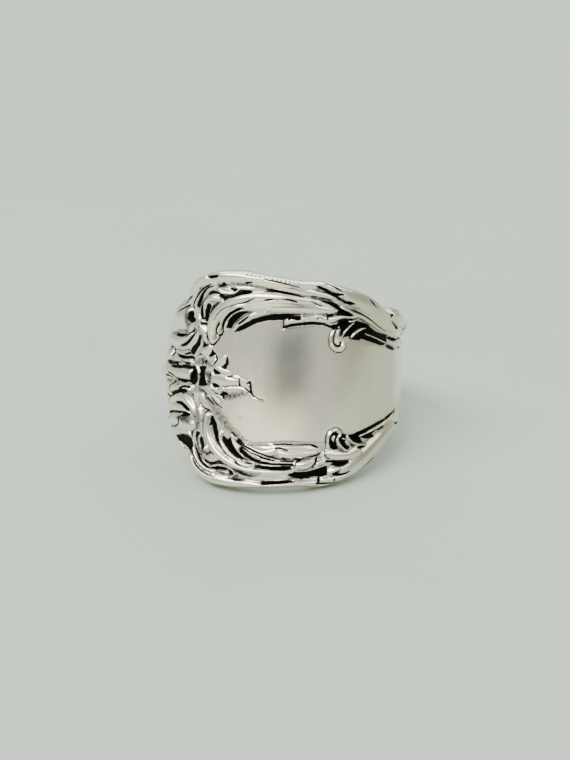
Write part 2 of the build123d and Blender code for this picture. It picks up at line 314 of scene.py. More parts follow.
# Columns of forms and ribs: along, up, half width, rise over the ground.
FORMS_ABOVE = {
    "rim": (
        (-9.5, 7.7, 0.34, 0.34), (-8.3, 8.6, 0.5, 0.6), (-6.5, 8.98, 0.72, 0.66),
        (-4.2, 9.0, 0.78, 0.66), (-2.0, 8.84, 0.74, 0.66), (0.2, 8.58, 0.66, 0.66),
        (1.6, 8.44, 0.52, 0.6), (3.4, 8.45, 0.3, 0.5),
    ),
    "upper band": (
        (-5.4, 8.5, 0.3, 0.5), (-4.2, 8.6, 0.4, 0.56), (-2.4, 8.42, 0.42, 0.6),
        (-0.4, 8.15, 0.4, 0.6), (1.6, 7.8, 0.4, 0.58), (3.4, 7.5, 0.3, 0.52), (4.6, 7.2, 0.2, 0.46),
    ),
    "bean": ((-6.3, 7.85, 0.24, 0.42), (-5.5, 7.8, 0.36, 0.5), (-4.8, 7.85, 0.3, 0.42)),
    "band behind the bean": (
        (-4.4, 8.0, 0.14, 0.5), (-3.4, 7.98, 0.18, 0.58), (-2.0, 7.95, 0.16, 0.56),
    ),
    "outer flute": (
        (-7.1, 3.25, 0.38, 0.5), (-7.2, 4.2, 0.52, 0.62), (-6.85, 5.3, 0.62, 0.7),
        (-6.0, 6.2, 0.58, 0.72), (-4.8, 6.85, 0.48, 0.72), (-3.6, 7.12, 0.54, 0.72),
        (-2.2, 7.2, 0.66, 0.74), (-0.4, 7.18, 0.62, 0.74), (1.4, 7.02, 0.46, 0.7),
        (3.0, 6.88, 0.28, 0.62), (4.4, 6.5, 0.16, 0.5),
    ),
    "saddle": (
        (-3.6, 6.75, 0.24, 0.6), (-2.0, 6.76, 0.42, 0.68), (-0.4, 6.74, 0.45, 0.685),
        (1.0, 6.68, 0.42, 0.67), (2.4, 6.55, 0.26, 0.6),
    ),
    "second flute": (
        (-6.1, 4.9, 0.24, 0.52), (-5.6, 5.7, 0.3, 0.58), (-4.8, 6.2, 0.3, 0.62),
        (-3.8, 6.5, 0.3, 0.64), (-2.6, 6.7, 0.34, 0.66),
    ),
    "scroll body": (
        (-3.6, 6.3, 0.26, 0.56), (-2.4, 6.4, 0.5, 0.62), (-0.8, 6.42, 0.62, 0.66),
        (1.0, 6.42, 0.66, 0.66), (2.6, 6.35, 0.56, 0.62), (3.9, 6.2, 0.36, 0.56),
        (4.7, 6.2, 0.18, 0.48),
    ),
    "third flute": (
        (-4.6, 4.6, 0.14, 0.48), (-4.25, 5.0, 0.2, 0.52), (-3.6, 5.42, 0.22, 0.54),
        (-2.8, 5.75, 0.24, 0.56), (-1.5, 5.98, 0.24, 0.58), (0.0, 6.02, 0.24, 0.58),
    ),
    "lip": (
        (0.3, 5.3, 0.2, 0.46), (1.4, 5.42, 0.28, 0.54), (2.8, 5.48, 0.34, 0.56),
        (4.1, 5.36, 0.34, 0.56), (5.2, 5.62, 0.2, 0.54), (6.6, 5.55, 0.14, 0.46),
    ),
    "ridge of the sweep": (
        (5.3, 6.35, 0.2, 0.56), (6.3, 5.9, 0.24, 0.6), (7.4, 5.55, 0.24, 0.62),
        (8.6, 4.98, 0.24, 0.62), (9.8, 4.4, 0.24, 0.6), (11.0, 4.0, 0.24, 0.56),
        (12.6, 3.75, 0.24, 0.5),
    ),
    "sweep": (
        (3.2, 8.35, 0.2, 0.48), (4.6, 8.0, 0.42, 0.56), (6.0, 7.35, 0.86, 0.62),
        (7.4, 6.8, 1.04, 0.64), (8.8, 6.1, 1.06, 0.64), (10.2, 5.35, 0.98, 0.62),
        (11.6, 4.9, 0.86, 0.56), (13.2, 4.5, 0.74, 0.48), (15.0, 4.1, 0.54, 0.36),
    ),
    "end bead": (
        (12.0, 5.5, 0.46, 0.66), (13.0, 5.35, 0.6, 0.82), (14.2, 5.05, 0.66, 0.84),
        (15.6, 4.5, 0.6, 0.78), (16.6, 3.9, 0.4, 0.6),
    ),
    "end ledge": ((11.2, 3.3, 0.2, 0.46), (13.0, 3.0, 0.3, 0.5), (15.0, 3.0, 0.3, 0.44)),
    "broad lobe": (
        (-13.0, 4.2, 0.6, 0.5), (-12.2, 4.75, 0.9, 0.64), (-11.2, 5.05, 1.15, 0.72),
        (-10.5, 5.1, 1.0, 0.66),
    ),
    "broad lobe foot": ((-10.6, 4.4, 0.5, 0.5), (-10.1, 4.35, 0.45, 0.46), (-9.6, 4.55, 0.3, 0.4)),
    "middle lobe": (
        (-14.2, 3.0, 0.34, 0.46), (-13.2, 3.1, 0.5, 0.6), (-12.0, 3.0, 0.52, 0.66),
        (-10.9, 3.15, 0.4, 0.62), (-9.9, 3.75, 0.24, 0.5),
    ),
    "lower lobe": (
        (-13.0, 2.6, 0.2, 0.44), (-11.8, 2.45, 0.26, 0.56), (-10.6, 2.4, 0.3, 0.6),
        (-9.8, 2.85, 0.26, 0.54), (-9.1, 3.6, 0.2, 0.5), (-8.75, 4.1, 0.16, 0.46),
    ),
    "side petal": (
        (-12.2, 2.05, 0.2, 0.46), (-11.2, 1.92, 0.22, 0.54), (-10.2, 1.85, 0.16, 0.54),
        (-9.6, 1.9, 0.14, 0.5),
    ),
    "curled petal": (
        (-15.2, 1.6, 0.45, 0.46), (-13.8, 1.65, 0.5, 0.56), (-12.2, 1.4, 0.34, 0.56),
        (-11.0, 1.32, 0.22, 0.54), (-10.1, 1.3, 0.2, 0.54),
    ),
    "edge lobe": (
        (-9.35, 8.05, 0.34, 0.46), (-8.7, 8.3, 0.44, 0.54), (-7.8, 8.42, 0.4, 0.56),
        (-6.8, 8.5, 0.3, 0.56),
    ),
    "comb": (
        (-9.4, 6.4, 0.26, 0.5), (-8.8, 7.1, 0.34, 0.56), (-7.9, 7.75, 0.34, 0.6),
        (-6.9, 8.1, 0.28, 0.58),
    ),
    "bud": ((-7.55, 6.95, 0.28, 0.48), (-7.0, 7.06, 0.38, 0.6), (-6.35, 7.02, 0.28, 0.52)),
    "stem": ((-8.4, 5.2, 0.2, 0.4), (-8.3, 6.1, 0.3, 0.46), (-7.8, 6.75, 0.3, 0.5)),
    "knot": (
        (-9.35, 4.45, 0.3, 0.44), (-8.5, 4.35, 0.42, 0.5), (-8.0, 3.8, 0.34, 0.46),
        (-8.2, 3.2, 0.24, 0.42),
    ),
}

# Columns of an outline: along, up.
POCKETS_ABOVE = {
    "over the panel's edge": (
        (-4.85, 4.15), (-4.3, 4.22), (-3.8, 4.42), (-3.3, 4.68), (-2.6, 5.03), (-1.6, 5.26),
        (-0.2, 5.34), (0.25, 5.5), (0.65, 5.75), (0.0, 5.84), (-1.0, 5.8), (-2.0, 5.64),
        (-3.0, 5.33), (-3.7, 4.98), (-4.35, 4.6),
    ),
    "notch": (
        (0.15, 5.35), (0.3, 5.28), (0.42, 5.48), (0.9, 5.34), (1.28, 5.33), (1.28, 5.68),
        (0.7, 5.68), (0.3, 5.62),
    ),
    "under the lip": (
        (-0.3, 4.55), (0.4, 4.74), (1.4, 4.87), (2.4, 4.95), (3.4, 4.92), (4.1, 4.65), (4.1, 4.85),
        (3.4, 5.12), (2.4, 5.2), (1.4, 5.13), (0.4, 5.0), (-0.2, 4.78),
    ),
    "over the leaves": (
        (4.0, 4.85), (4.8, 5.0), (4.9, 5.3), (5.6, 5.42), (6.2, 5.38), (7.2, 5.15), (7.9, 5.0),
        (8.5, 4.65), (9.2, 4.25), (10.2, 3.98), (11.0, 3.82), (11.0, 3.25), (10.0, 3.5),
        (8.6, 3.95), (7.4, 4.2), (7.0, 3.95), (6.1, 3.65), (6.0, 3.95), (5.6, 3.85), (5.15, 3.75),
        (5.1, 4.2), (5.15, 4.6), (4.45, 4.4),
    ),
    "under the rail": (
        (6.2, 3.62), (7.2, 3.52), (7.4, 3.68), (8.2, 3.46), (9.2, 3.2), (10.1, 2.98), (10.75, 2.98),
        (10.7, 3.14), (9.5, 3.5), (8.4, 3.87), (7.5, 4.2), (6.9, 4.0),
    ),
    "end of the rail": (
        (11.0, 2.98), (11.7, 2.88), (12.4, 2.7), (12.95, 2.55), (12.6, 2.44), (11.8, 2.54),
        (11.1, 2.74),
    ),
    "main wedge": (
        (3.0, 7.05), (3.8, 6.97), (4.4, 6.9), (4.8, 6.68), (5.1, 6.4), (5.4, 6.17), (5.9, 6.0),
        (6.45, 5.68), (5.8, 5.7), (5.2, 5.8), (4.4, 5.76), (4.8, 5.95), (4.9, 6.2), (4.5, 6.42),
        (3.9, 6.72),
    ),
    "fork": (
        (2.5, 8.34), (3.0, 8.3), (3.6, 8.07), (4.2, 7.72), (5.45, 7.6), (5.0, 7.5), (4.3, 7.48),
        (3.8, 7.68), (3.2, 8.03),
    ),
    "right fork": ((5.25, 6.97), (5.9, 6.95), (6.6, 6.7), (6.0, 6.7), (5.4, 6.82)),
    "second flute": (
        (-5.62, 4.5), (-5.08, 4.44), (-4.92, 4.8), (-4.52, 5.2), (-3.95, 5.65), (-3.4, 5.97),
        (-4.1, 6.0), (-4.8, 5.72), (-5.3, 5.25),
    ),
    "first flute": (
        (-6.08, 4.3), (-5.82, 4.35), (-5.8, 4.8), (-5.5, 5.25), (-5.0, 5.7), (-4.2, 6.12),
        (-3.7, 6.3), (-4.4, 6.25), (-5.2, 5.82), (-5.75, 5.3), (-6.02, 4.8),
    ),
    "hook": (
        (-8.66, 6.1), (-8.66, 5.4), (-8.46, 5.1), (-8.1, 5.1), (-8.2, 5.6), (-8.2, 6.2),
        (-8.1, 6.6), (-8.4, 6.4),
    ),
    "second hook": (
        (-8.0, 5.9), (-8.05, 5.3), (-8.0, 4.95), (-7.6, 5.0), (-7.6, 5.5), (-7.45, 6.0),
        (-7.3, 6.3), (-7.6, 6.6), (-7.8, 6.4),
    ),
    "beside the lobe": (
        (-10.15, 5.2), (-10.1, 5.7), (-9.8, 5.8), (-9.6, 5.55), (-9.6, 5.25), (-9.35, 5.1),
        (-9.4, 4.85), (-9.8, 4.7), (-10.1, 4.95),
    ),
    "deep corner": (
        (-10.05, 2.15), (-9.7, 2.6), (-9.2, 2.95), (-8.9, 3.4), (-8.75, 3.72), (-8.5, 3.6),
        (-8.62, 3.1), (-8.65, 2.8), (-9.0, 2.5), (-9.3, 2.1), (-9.55, 1.85),
    ),
    "small corner": (
        (-8.35, 2.6), (-8.25, 3.0), (-8.1, 3.25), (-8.0, 3.0), (-7.8, 2.88), (-7.45, 2.92),
        (-7.9, 2.7),
    ),
    "edge mark": ((-7.75, 8.95), (-7.2, 8.78), (-6.4, 8.93), (-6.3, 9.1), (-7.0, 9.04)),
    "over the bean": (
        (-6.6, 8.0), (-6.2, 8.03), (-5.75, 8.18), (-5.72, 8.42), (-6.0, 8.42), (-6.2, 8.2),
    ),
}

RIBS_ABOVE = {
    "between the flutes": (
        (-5.75, 4.4, 0.06, 0.48), (-5.56, 4.95, 0.06, 0.56), (-5.1, 5.5, 0.05, 0.58),
        (-4.4, 5.95, 0.04, 0.6), (-3.5, 6.15, 0.04, 0.58),
    ),
    "thin flute": ((-6.3, 3.85, 0.12, 0.46), (-6.38, 4.3, 0.13, 0.52), (-6.1, 4.75, 0.08, 0.52)),
    "flute edge": ((-4.8, 4.42, 0.07, 0.52), (-4.4, 4.88, 0.06, 0.54), (-3.8, 5.32, 0.04, 0.54)),
    "bean rim": (
        (-6.45, 7.85, 0.07, 0.5), (-6.2, 7.65, 0.1, 0.6), (-5.5, 7.5, 0.09, 0.62),
        (-4.75, 7.58, 0.08, 0.6), (-4.38, 7.88, 0.06, 0.56), (-4.6, 8.12, 0.04, 0.52),
        (-5.1, 8.15, 0.03, 0.5),
    ),
    "hook": (
        (-8.85, 5.55, 0.03, 0.46), (-8.68, 5.12, 0.06, 0.52), (-8.4, 4.95, 0.07, 0.54),
        (-8.0, 4.92, 0.04, 0.5),
    ),
    "hook stem": ((-8.1, 5.3, 0.03, 0.4), (-8.12, 5.9, 0.04, 0.46), (-7.95, 6.4, 0.04, 0.5)),
    "volute": (
        (4.95, 4.74, 0.04, 0.42), (4.5, 4.4, 0.06, 0.42), (4.24, 3.85, 0.07, 0.42),
        (4.3, 3.25, 0.08, 0.42), (4.62, 2.9, 0.08, 0.43), (5.08, 2.82, 0.09, 0.43),
        (5.42, 3.02, 0.08, 0.42), (5.44, 3.4, 0.04, 0.38),
    ),
    "volute eye": ((4.85, 4.35, 0.1, 0.36), (4.82, 3.85, 0.2, 0.4), (4.85, 3.4, 0.18, 0.38)),
    "small leaf": (
        (5.2, 3.82, 0.04, 0.42), (5.5, 4.3, 0.06, 0.54), (5.95, 4.75, 0.06, 0.56),
        (6.5, 5.1, 0.04, 0.5),
    ),
    "leaf bead": ((5.98, 5.2, 0.05, 0.5), (6.3, 5.22, 0.06, 0.52), (6.9, 5.35, 0.04, 0.46)),
    "long leaf": (
        (6.2, 3.78, 0.06, 0.42), (6.6, 4.2, 0.12, 0.54), (7.2, 4.5, 0.11, 0.56),
        (7.85, 4.6, 0.04, 0.48),
    ),
    "rail": (
        (7.8, 4.08, 0.03, 0.46), (8.9, 3.74, 0.05, 0.54), (10.2, 3.32, 0.05, 0.54),
        (11.2, 3.08, 0.05, 0.52), (12.6, 2.85, 0.08, 0.48),
    ),
    "curl": (
        (-10.2, 1.42, 0.05, 0.54), (-9.75, 1.42, 0.08, 0.58), (-9.52, 1.15, 0.08, 0.58),
        (-9.75, 0.92, 0.05, 0.52),
    ),
    "first comb": (
        (-9.65, 6.3, 0.03, 0.5), (-9.1, 7.0, 0.05, 0.58), (-8.4, 7.72, 0.06, 0.62),
        (-7.5, 8.22, 0.04, 0.6),
    ),
    "second comb": (
        (-9.3, 6.25, 0.03, 0.5), (-8.8, 6.92, 0.05, 0.58), (-8.2, 7.52, 0.05, 0.6),
        (-7.5, 8.05, 0.04, 0.58),
    ),
}

# Columns of a line: along, up, half width.
LINES_ABOVE = {
    "first comb": ((-9.8, 6.3, 0.05), (-9.5, 6.75, 0.1), (-9.1, 7.22, 0.1), (-8.6, 7.75, 0.04)),
    "second comb": (
        (-9.75, 6.05, 0.1), (-9.4, 6.45, 0.08), (-8.9, 7.05, 0.08), (-8.3, 7.65, 0.08),
        (-7.7, 8.05, 0.06), (-7.2, 8.25, 0.03),
    ),
    "third comb": (
        (-9.1, 6.2, 0.07), (-8.7, 6.75, 0.08), (-8.2, 7.35, 0.07), (-7.5, 7.92, 0.05),
        (-6.9, 8.1, 0.03),
    ),
    "fourth comb": ((-8.9, 6.15, 0.05), (-8.5, 6.6, 0.05)),
    "under the hook": (
        (-8.85, 5.1, 0.04), (-8.6, 4.83, 0.06), (-8.3, 4.73, 0.07), (-7.9, 4.75, 0.05),
    ),
    "stem": ((-7.5, 5.15, 0.05), (-7.2, 5.8, 0.07), (-6.9, 6.25, 0.07), (-6.4, 6.62, 0.04)),
    "inner stem": ((-7.42, 5.7, 0.03), (-7.2, 6.2, 0.04), (-6.98, 6.42, 0.04)),
    "left of the outer flute": ((-7.75, 3.5, 0.04), (-7.68, 4.4, 0.03), (-7.55, 5.1, 0.03)),
    "tip of the outer flute": (
        (-7.65, 3.35, 0.04), (-7.3, 2.98, 0.06), (-6.95, 2.92, 0.06), (-6.55, 3.3, 0.05),
        (-6.3, 3.6, 0.05),
    ),
    "under the lobe": (
        (-12.3, 3.55, 0.06), (-11.5, 3.5, 0.09), (-10.7, 3.58, 0.06), (-10.3, 3.7, 0.03),
    ),
    "lobe foot": ((-10.4, 3.45, 0.03), (-10.0, 3.75, 0.06), (-9.6, 4.05, 0.09), (-9.3, 4.4, 0.05)),
    "lobe crescent": (
        (-11.3, 2.6, 0.04), (-10.7, 2.8, 0.07), (-10.1, 3.15, 0.12), (-9.6, 3.6, 0.12),
        (-9.1, 4.05, 0.04),
    ),
    "under the middle lobe": ((-12.1, 2.28, 0.02), (-11.0, 2.2, 0.02), (-10.1, 2.3, 0.02)),
    "small dash": ((-10.62, 1.86, 0.05), (-10.3, 1.97, 0.08), (-9.98, 1.98, 0.06)),
    "side petal": (
        (-12.1, 1.85, 0.06), (-11.6, 1.65, 0.08), (-11.0, 1.55, 0.08), (-10.2, 1.65, 0.06),
        (-9.7, 1.7, 0.07), (-9.42, 1.45, 0.05),
    ),
    "curl": (
        (-11.2, 1.3, 0.06), (-10.9, 1.1, 0.09), (-10.3, 1.07, 0.06), (-9.95, 1.12, 0.09),
        (-9.8, 1.22, 0.05),
    ),
    "root": ((-15.2, 1.02, 0.08), (-14.2, 0.92, 0.15), (-13.2, 0.95, 0.09), (-12.2, 0.95, 0.12)),
    "over the tongue": (
        (-13.4, 0.68, 0.08), (-12.4, 0.66, 0.09), (-11.6, 0.67, 0.09), (-10.5, 0.72, 0.07),
        (-9.7, 0.72, 0.07),
    ),
    "over the tongue again": ((-11.3, 0.84, 0.03), (-10.6, 0.88, 0.03), (-9.8, 0.88, 0.03)),
    "fork of the root": (
        (-12.95, 2.3, 0.11), (-12.8, 1.9, 0.2), (-12.75, 1.5, 0.15), (-12.4, 1.1, 0.11),
        (-12.2, 0.85, 0.11),
    ),
    "arch": ((-13.9, 2.15, 0.09), (-13.6, 2.38, 0.12), (-13.1, 2.47, 0.08), (-12.75, 2.25, 0.11)),
    "root dash": ((-13.9, 1.12, 0.09), (-13.4, 1.15, 0.06)),
    "edge of the lobe": ((-10.95, 6.4, 0.04), (-10.4, 6.85, 0.05), (-9.9, 7.12, 0.03)),
    "over the lobe": ((-11.5, 5.65, 0.04), (-10.9, 6.03, 0.08), (-10.2, 6.32, 0.03)),
    "under the bean": (
        (-6.35, 7.36, 0.04), (-6.0, 7.15, 0.08), (-5.4, 7.16, 0.04), (-4.8, 7.26, 0.05),
        (-4.2, 7.5, 0.09), (-3.7, 7.62, 0.12), (-3.2, 7.65, 0.07),
    ),
    "round the bud": (
        (-7.65, 7.38, 0.03), (-7.2, 7.55, 0.04), (-6.6, 7.5, 0.04), (-6.1, 7.28, 0.04),
    ),
    "inside the bean": ((-5.1, 7.95, 0.05), (-4.75, 7.82, 0.08), (-4.6, 7.95, 0.06)),
    "band mark": ((-3.62, 8.5, 0.06), (-3.08, 8.55, 0.05)),
    "dark band groove": (
        (-1.6, 7.96, 0.02), (-1.0, 7.88, 0.06), (-0.2, 7.72, 0.06), (0.7, 7.55, 0.04),
        (1.5, 7.36, 0.02),
    ),
    "under the rim": ((-1.9, 8.85, 0.03), (-0.8, 8.65, 0.04), (0.3, 8.4, 0.03), (1.1, 8.2, 0.03)),
    "crest": (
        (-1.9, 7.02, 0.03), (-1.5, 7.08, 0.07), (-0.8, 7.12, 0.005), (0.1, 7.12, 0.05),
        (0.6, 7.02, 0.07), (1.0, 6.9, 0.03),
    ),
    "along the flute": (
        (-6.8, 5.0, 0.015), (-6.2, 5.8, 0.02), (-5.4, 6.3, 0.02), (-4.4, 6.62, 0.02),
        (-3.7, 6.75, 0.045), (-3.2, 7.0, 0.03), (-2.8, 7.18, 0.02),
    ),
    "thin flute": (
        (-6.2, 5.0, 0.03), (-6.5, 4.6, 0.04), (-6.65, 4.12, 0.05), (-6.42, 3.76, 0.05),
        (-6.1, 3.9, 0.05), (-5.95, 4.2, 0.04),
    ),
    "inside the third flute": ((-4.3, 4.86, 0.05), (-3.84, 5.22, 0.07), (-3.34, 5.57, 0.03)),
    "edge of the sweep": ((3.5, 8.58, 0.03), (4.1, 8.4, 0.04), (4.6, 8.1, 0.05), (5.0, 7.87, 0.03)),
    "low fork": ((4.6, 7.45, 0.05), (5.0, 7.15, 0.04), (5.35, 7.0, 0.04)),
    "end of the body": ((2.2, 7.0, 0.02), (2.7, 6.75, 0.03), (3.2, 6.55, 0.03)),
    "sweep mark": ((8.1, 7.15, 0.03), (8.5, 6.8, 0.06), (8.9, 6.45, 0.02)),
    "over the ridge": (
        (6.2, 6.2, 0.02), (7.2, 5.86, 0.03), (8.3, 5.3, 0.04), (9.3, 4.72, 0.04),
        (10.4, 4.22, 0.02),
    ),
    "end spot": ((11.45, 5.52, 0.05), (11.7, 5.62, 0.12)),
    "beside the bead": (
        (11.4, 5.12, 0.03), (12.0, 4.8, 0.08), (12.7, 4.5, 0.14), (13.1, 4.36, 0.05),
    ),
    "round the bead": (
        (14.3, 5.6, 0.05), (14.65, 5.2, 0.08), (14.9, 4.6, 0.11), (15.0, 4.0, 0.12),
        (14.9, 3.4, 0.11), (14.6, 3.0, 0.08),
    ),
    "end line": (
        (11.2, 3.6, 0.04), (12.1, 3.4, 0.11), (12.8, 3.4, 0.09), (13.4, 3.35, 0.04),
        (14.3, 3.45, 0.04), (15.1, 3.3, 0.09),
    ),
    "low end mark": ((14.0, 2.68, 0.05), (14.4, 2.63, 0.09), (14.7, 2.6, 0.05)),
    "inside the volute": (
        (4.78, 4.62, 0.04), (4.52, 4.2, 0.05), (4.4, 3.72, 0.06), (4.5, 3.28, 0.06),
        (4.8, 3.04, 0.07), (5.12, 3.12, 0.06), (5.18, 3.4, 0.03),
    ),
    "round the volute": (
        (4.16, 4.35, 0.02), (3.95, 3.7, 0.02), (4.05, 3.05, 0.02), (4.5, 2.6, 0.02),
        (5.1, 2.5, 0.02), (5.6, 2.78, 0.02), (5.7, 3.3, 0.015),
    ),
    "leaf lip": ((3.68, 5.4, 0.03), (3.8, 5.66, 0.05), (4.3, 5.78, 0.04)),
    "lip bead": ((2.72, 5.35, 0.02), (2.85, 5.55, 0.03), (3.3, 5.52, 0.02)),
    "step of the panel": ((-0.2, 5.45, 0.03), (-0.22, 4.62, 0.05)),
}

# Columns of a brown mark, for stains and painted shade alike: along, up, half width, darkness.
STAINS_AND_SHADE_ABOVE = {
    "band": (
        (-5.2, 8.45, 0.16, 0.2), (-4.0, 8.36, 0.2, 0.3), (-3.0, 8.25, 0.18, 0.3),
        (-1.8, 8.08, 0.16, 0.36), (-0.6, 7.84, 0.12, 0.3),
    ),
    "broad lobe": (
        (-10.4, 6.0, 0.3, 0.2), (-10.2, 5.4, 0.45, 0.28), (-10.1, 4.7, 0.5, 0.32),
        (-10.3, 4.1, 0.3, 0.2),
    ),
    "stem": ((-8.3, 6.6, 0.3, 0.2), (-8.2, 5.6, 0.45, 0.3), (-8.0, 4.9, 0.3, 0.24)),
    "comb": ((-9.4, 6.6, 0.4, 0.22), (-8.6, 7.3, 0.4, 0.24), (-7.6, 7.9, 0.3, 0.16)),
    "bean": ((-5.9, 8.1, 0.2, 0.2), (-5.2, 8.0, 0.3, 0.22), (-4.7, 7.9, 0.25, 0.3)),
    "scroll body": (
        (-2.6, 6.2, 0.2, 0.14), (-1.0, 5.98, 0.22, 0.2), (0.6, 5.95, 0.2, 0.18),
        (2.4, 5.85, 0.2, 0.16),
    ),
    "end of the band": (
        (1.5, 7.36, 0.1, 0.2), (2.3, 7.4, 0.16, 0.4), (3.0, 7.25, 0.16, 0.36),
        (4.2, 7.0, 0.16, 0.4),
    ),
    "sweep": (
        (3.6, 7.9, 0.2, 0.2), (5.0, 7.2, 0.3, 0.26), (6.4, 6.45, 0.26, 0.2), (8.0, 5.75, 0.2, 0.14),
    ),
    "knot": ((-8.7, 4.3, 0.4, 0.2), (-8.3, 3.4, 0.4, 0.24)),
}

work_metal(FORMS_ABOVE, STAINS_AND_SHADE_ABOVE, POCKETS_ABOVE, RIBS_ABOVE, LINES_ABOVE)


# The scrolls below the panel, of the same metal and struck with it. They answer those above, but
# the die was cut by hand, so each lobe, flute and leaf has its own shape. The tables have the same
# columns, with up measured downward from the middle of the face.
FORMS_BELOW = {
    "rim": (
        (-10.0, 7.3, 0.36, 0.4), (-8.8, 8.25, 0.5, 0.6), (-7.2, 8.9, 0.58, 0.66),
        (-5.2, 9.15, 0.56, 0.68), (-3.2, 9.2, 0.46, 0.64), (-1.2, 9.3, 0.3, 0.6),
        (1.0, 9.1, 0.34, 0.58), (2.8, 9.0, 0.34, 0.56),
    ),
    "upper band": (
        (-4.0, 8.4, 0.3, 0.52), (-2.6, 8.5, 0.42, 0.58), (-1.2, 8.5, 0.44, 0.6),
        (0.2, 8.5, 0.34, 0.58),
    ),
    "great flute": (
        (-7.5, 3.4, 0.38, 0.52), (-7.55, 4.3, 0.42, 0.66), (-7.3, 5.3, 0.46, 0.72),
        (-6.6, 6.3, 0.48, 0.74), (-5.6, 7.05, 0.46, 0.74), (-4.4, 7.6, 0.4, 0.72),
        (-3.0, 7.95, 0.32, 0.7), (-1.2, 8.05, 0.3, 0.68), (0.8, 7.95, 0.26, 0.62),
    ),
    "bright end of the flute": (
        (-4.3, 7.25, 0.14, 0.6), (-3.6, 7.45, 0.24, 0.7), (-2.8, 7.55, 0.14, 0.62),
    ),
    "second flute": (
        (-6.0, 4.85, 0.18, 0.52), (-5.95, 5.4, 0.2, 0.6), (-5.45, 6.15, 0.22, 0.64),
        (-4.8, 6.75, 0.24, 0.66), (-4.2, 7.1, 0.2, 0.64),
    ),
    "inner leaf": (
        (-4.85, 5.0, 0.12, 0.48), (-4.65, 5.55, 0.18, 0.54), (-4.2, 6.2, 0.2, 0.56),
        (-3.5, 6.85, 0.14, 0.54),
    ),
    "border": (
        (-3.9, 5.7, 0.2, 0.46), (-2.8, 6.2, 0.3, 0.5), (-1.6, 6.4, 0.4, 0.5),
        (-0.8, 6.2, 0.4, 0.48),
    ),
    "under the bars": ((-2.0, 7.0, 0.2, 0.5), (-0.6, 7.2, 0.16, 0.5), (0.6, 7.2, 0.14, 0.48)),
    "leaf lip": (
        (-0.5, 6.3, 0.3, 0.46), (0.3, 6.5, 0.38, 0.56), (1.3, 6.5, 0.38, 0.58),
        (2.3, 6.4, 0.28, 0.54), (3.0, 6.35, 0.16, 0.46),
    ),
    "lip": (
        (-0.7, 5.85, 0.2, 0.42), (0.8, 5.92, 0.26, 0.48), (2.2, 5.95, 0.24, 0.48),
        (3.0, 6.0, 0.14, 0.42),
    ),
    "bud": ((1.2, 7.45, 0.4, 0.52), (1.9, 7.4, 0.5, 0.62), (2.5, 7.15, 0.4, 0.58)),
    "beside the bud": ((3.1, 7.3, 0.3, 0.5), (3.7, 7.1, 0.26, 0.48)),
    "bean": ((-6.3, 8.3, 0.3, 0.46), (-5.5, 8.35, 0.36, 0.52), (-4.9, 8.4, 0.24, 0.44)),
    "comb": (
        (-9.4, 6.7, 0.26, 0.5), (-8.7, 7.4, 0.36, 0.58), (-7.8, 8.0, 0.36, 0.6),
        (-6.8, 8.3, 0.28, 0.58),
    ),
    "bud by the comb": (
        (-7.5, 7.12, 0.3, 0.48), (-6.9, 7.18, 0.38, 0.58), (-6.2, 7.15, 0.28, 0.52),
    ),
    "stem": (
        (-8.8, 5.0, 0.24, 0.4), (-8.6, 5.9, 0.34, 0.46), (-8.2, 6.6, 0.34, 0.5),
        (-7.7, 6.3, 0.2, 0.48),
    ),
    "broad lobe": (
        (-13.9, 4.2, 0.45, 0.5), (-12.8, 4.15, 0.62, 0.62), (-11.6, 4.15, 0.74, 0.68),
        (-10.4, 4.4, 0.74, 0.62), (-9.6, 4.4, 0.5, 0.52),
    ),
    "upper lobe": (
        (-12.2, 5.1, 0.26, 0.5), (-11.0, 5.05, 0.34, 0.58), (-10.0, 5.1, 0.3, 0.56),
        (-9.5, 5.4, 0.2, 0.5),
    ),
    "middle lobe": (
        (-14.0, 3.1, 0.34, 0.5), (-12.6, 2.95, 0.48, 0.62), (-11.4, 2.95, 0.44, 0.64),
        (-10.4, 3.1, 0.26, 0.56),
    ),
    "lower lobe": (
        (-13.4, 2.5, 0.3, 0.5), (-12.4, 2.2, 0.44, 0.6), (-11.2, 2.05, 0.48, 0.66),
        (-10.3, 2.3, 0.48, 0.64), (-9.6, 2.8, 0.36, 0.58), (-9.2, 3.4, 0.18, 0.48),
    ),
    "curled petal": (
        (-15.2, 1.3, 0.5, 0.46), (-13.6, 1.3, 0.5, 0.54), (-12.2, 1.2, 0.34, 0.56),
        (-11.0, 1.1, 0.2, 0.54), (-10.1, 1.15, 0.2, 0.54),
    ),
    "knot": (
        (-9.0, 4.3, 0.36, 0.44), (-8.45, 4.3, 0.4, 0.5), (-8.5, 3.5, 0.4, 0.5),
        (-8.6, 2.9, 0.3, 0.46),
    ),
    "knot side": ((-9.1, 2.1, 0.32, 0.48), (-8.9, 1.5, 0.4, 0.52), (-8.5, 1.15, 0.26, 0.46)),
    "sweep": (
        (5.2, 8.7, 0.36, 0.54), (6.6, 7.7, 0.86, 0.62), (8.0, 6.9, 1.0, 0.66),
        (9.2, 6.15, 0.92, 0.64), (10.4, 5.4, 0.8, 0.62), (11.8, 4.85, 0.7, 0.56),
        (13.2, 4.5, 0.6, 0.48), (14.6, 4.1, 0.46, 0.36),
    ),
    "sweep root": (
        (3.9, 6.5, 0.42, 0.52), (4.8, 6.62, 0.48, 0.6), (6.0, 6.6, 0.5, 0.62),
        (7.0, 6.3, 0.6, 0.62),
    ),
    "rosette": ((3.6, 8.75, 0.24, 0.5), (4.4, 8.72, 0.34, 0.58), (5.0, 8.6, 0.3, 0.54)),
    "rosette drop": (
        (4.3, 8.1, 0.22, 0.5), (4.75, 7.82, 0.3, 0.7), (5.3, 7.78, 0.26, 0.6),
        (6.0, 7.6, 0.3, 0.56),
    ),
}

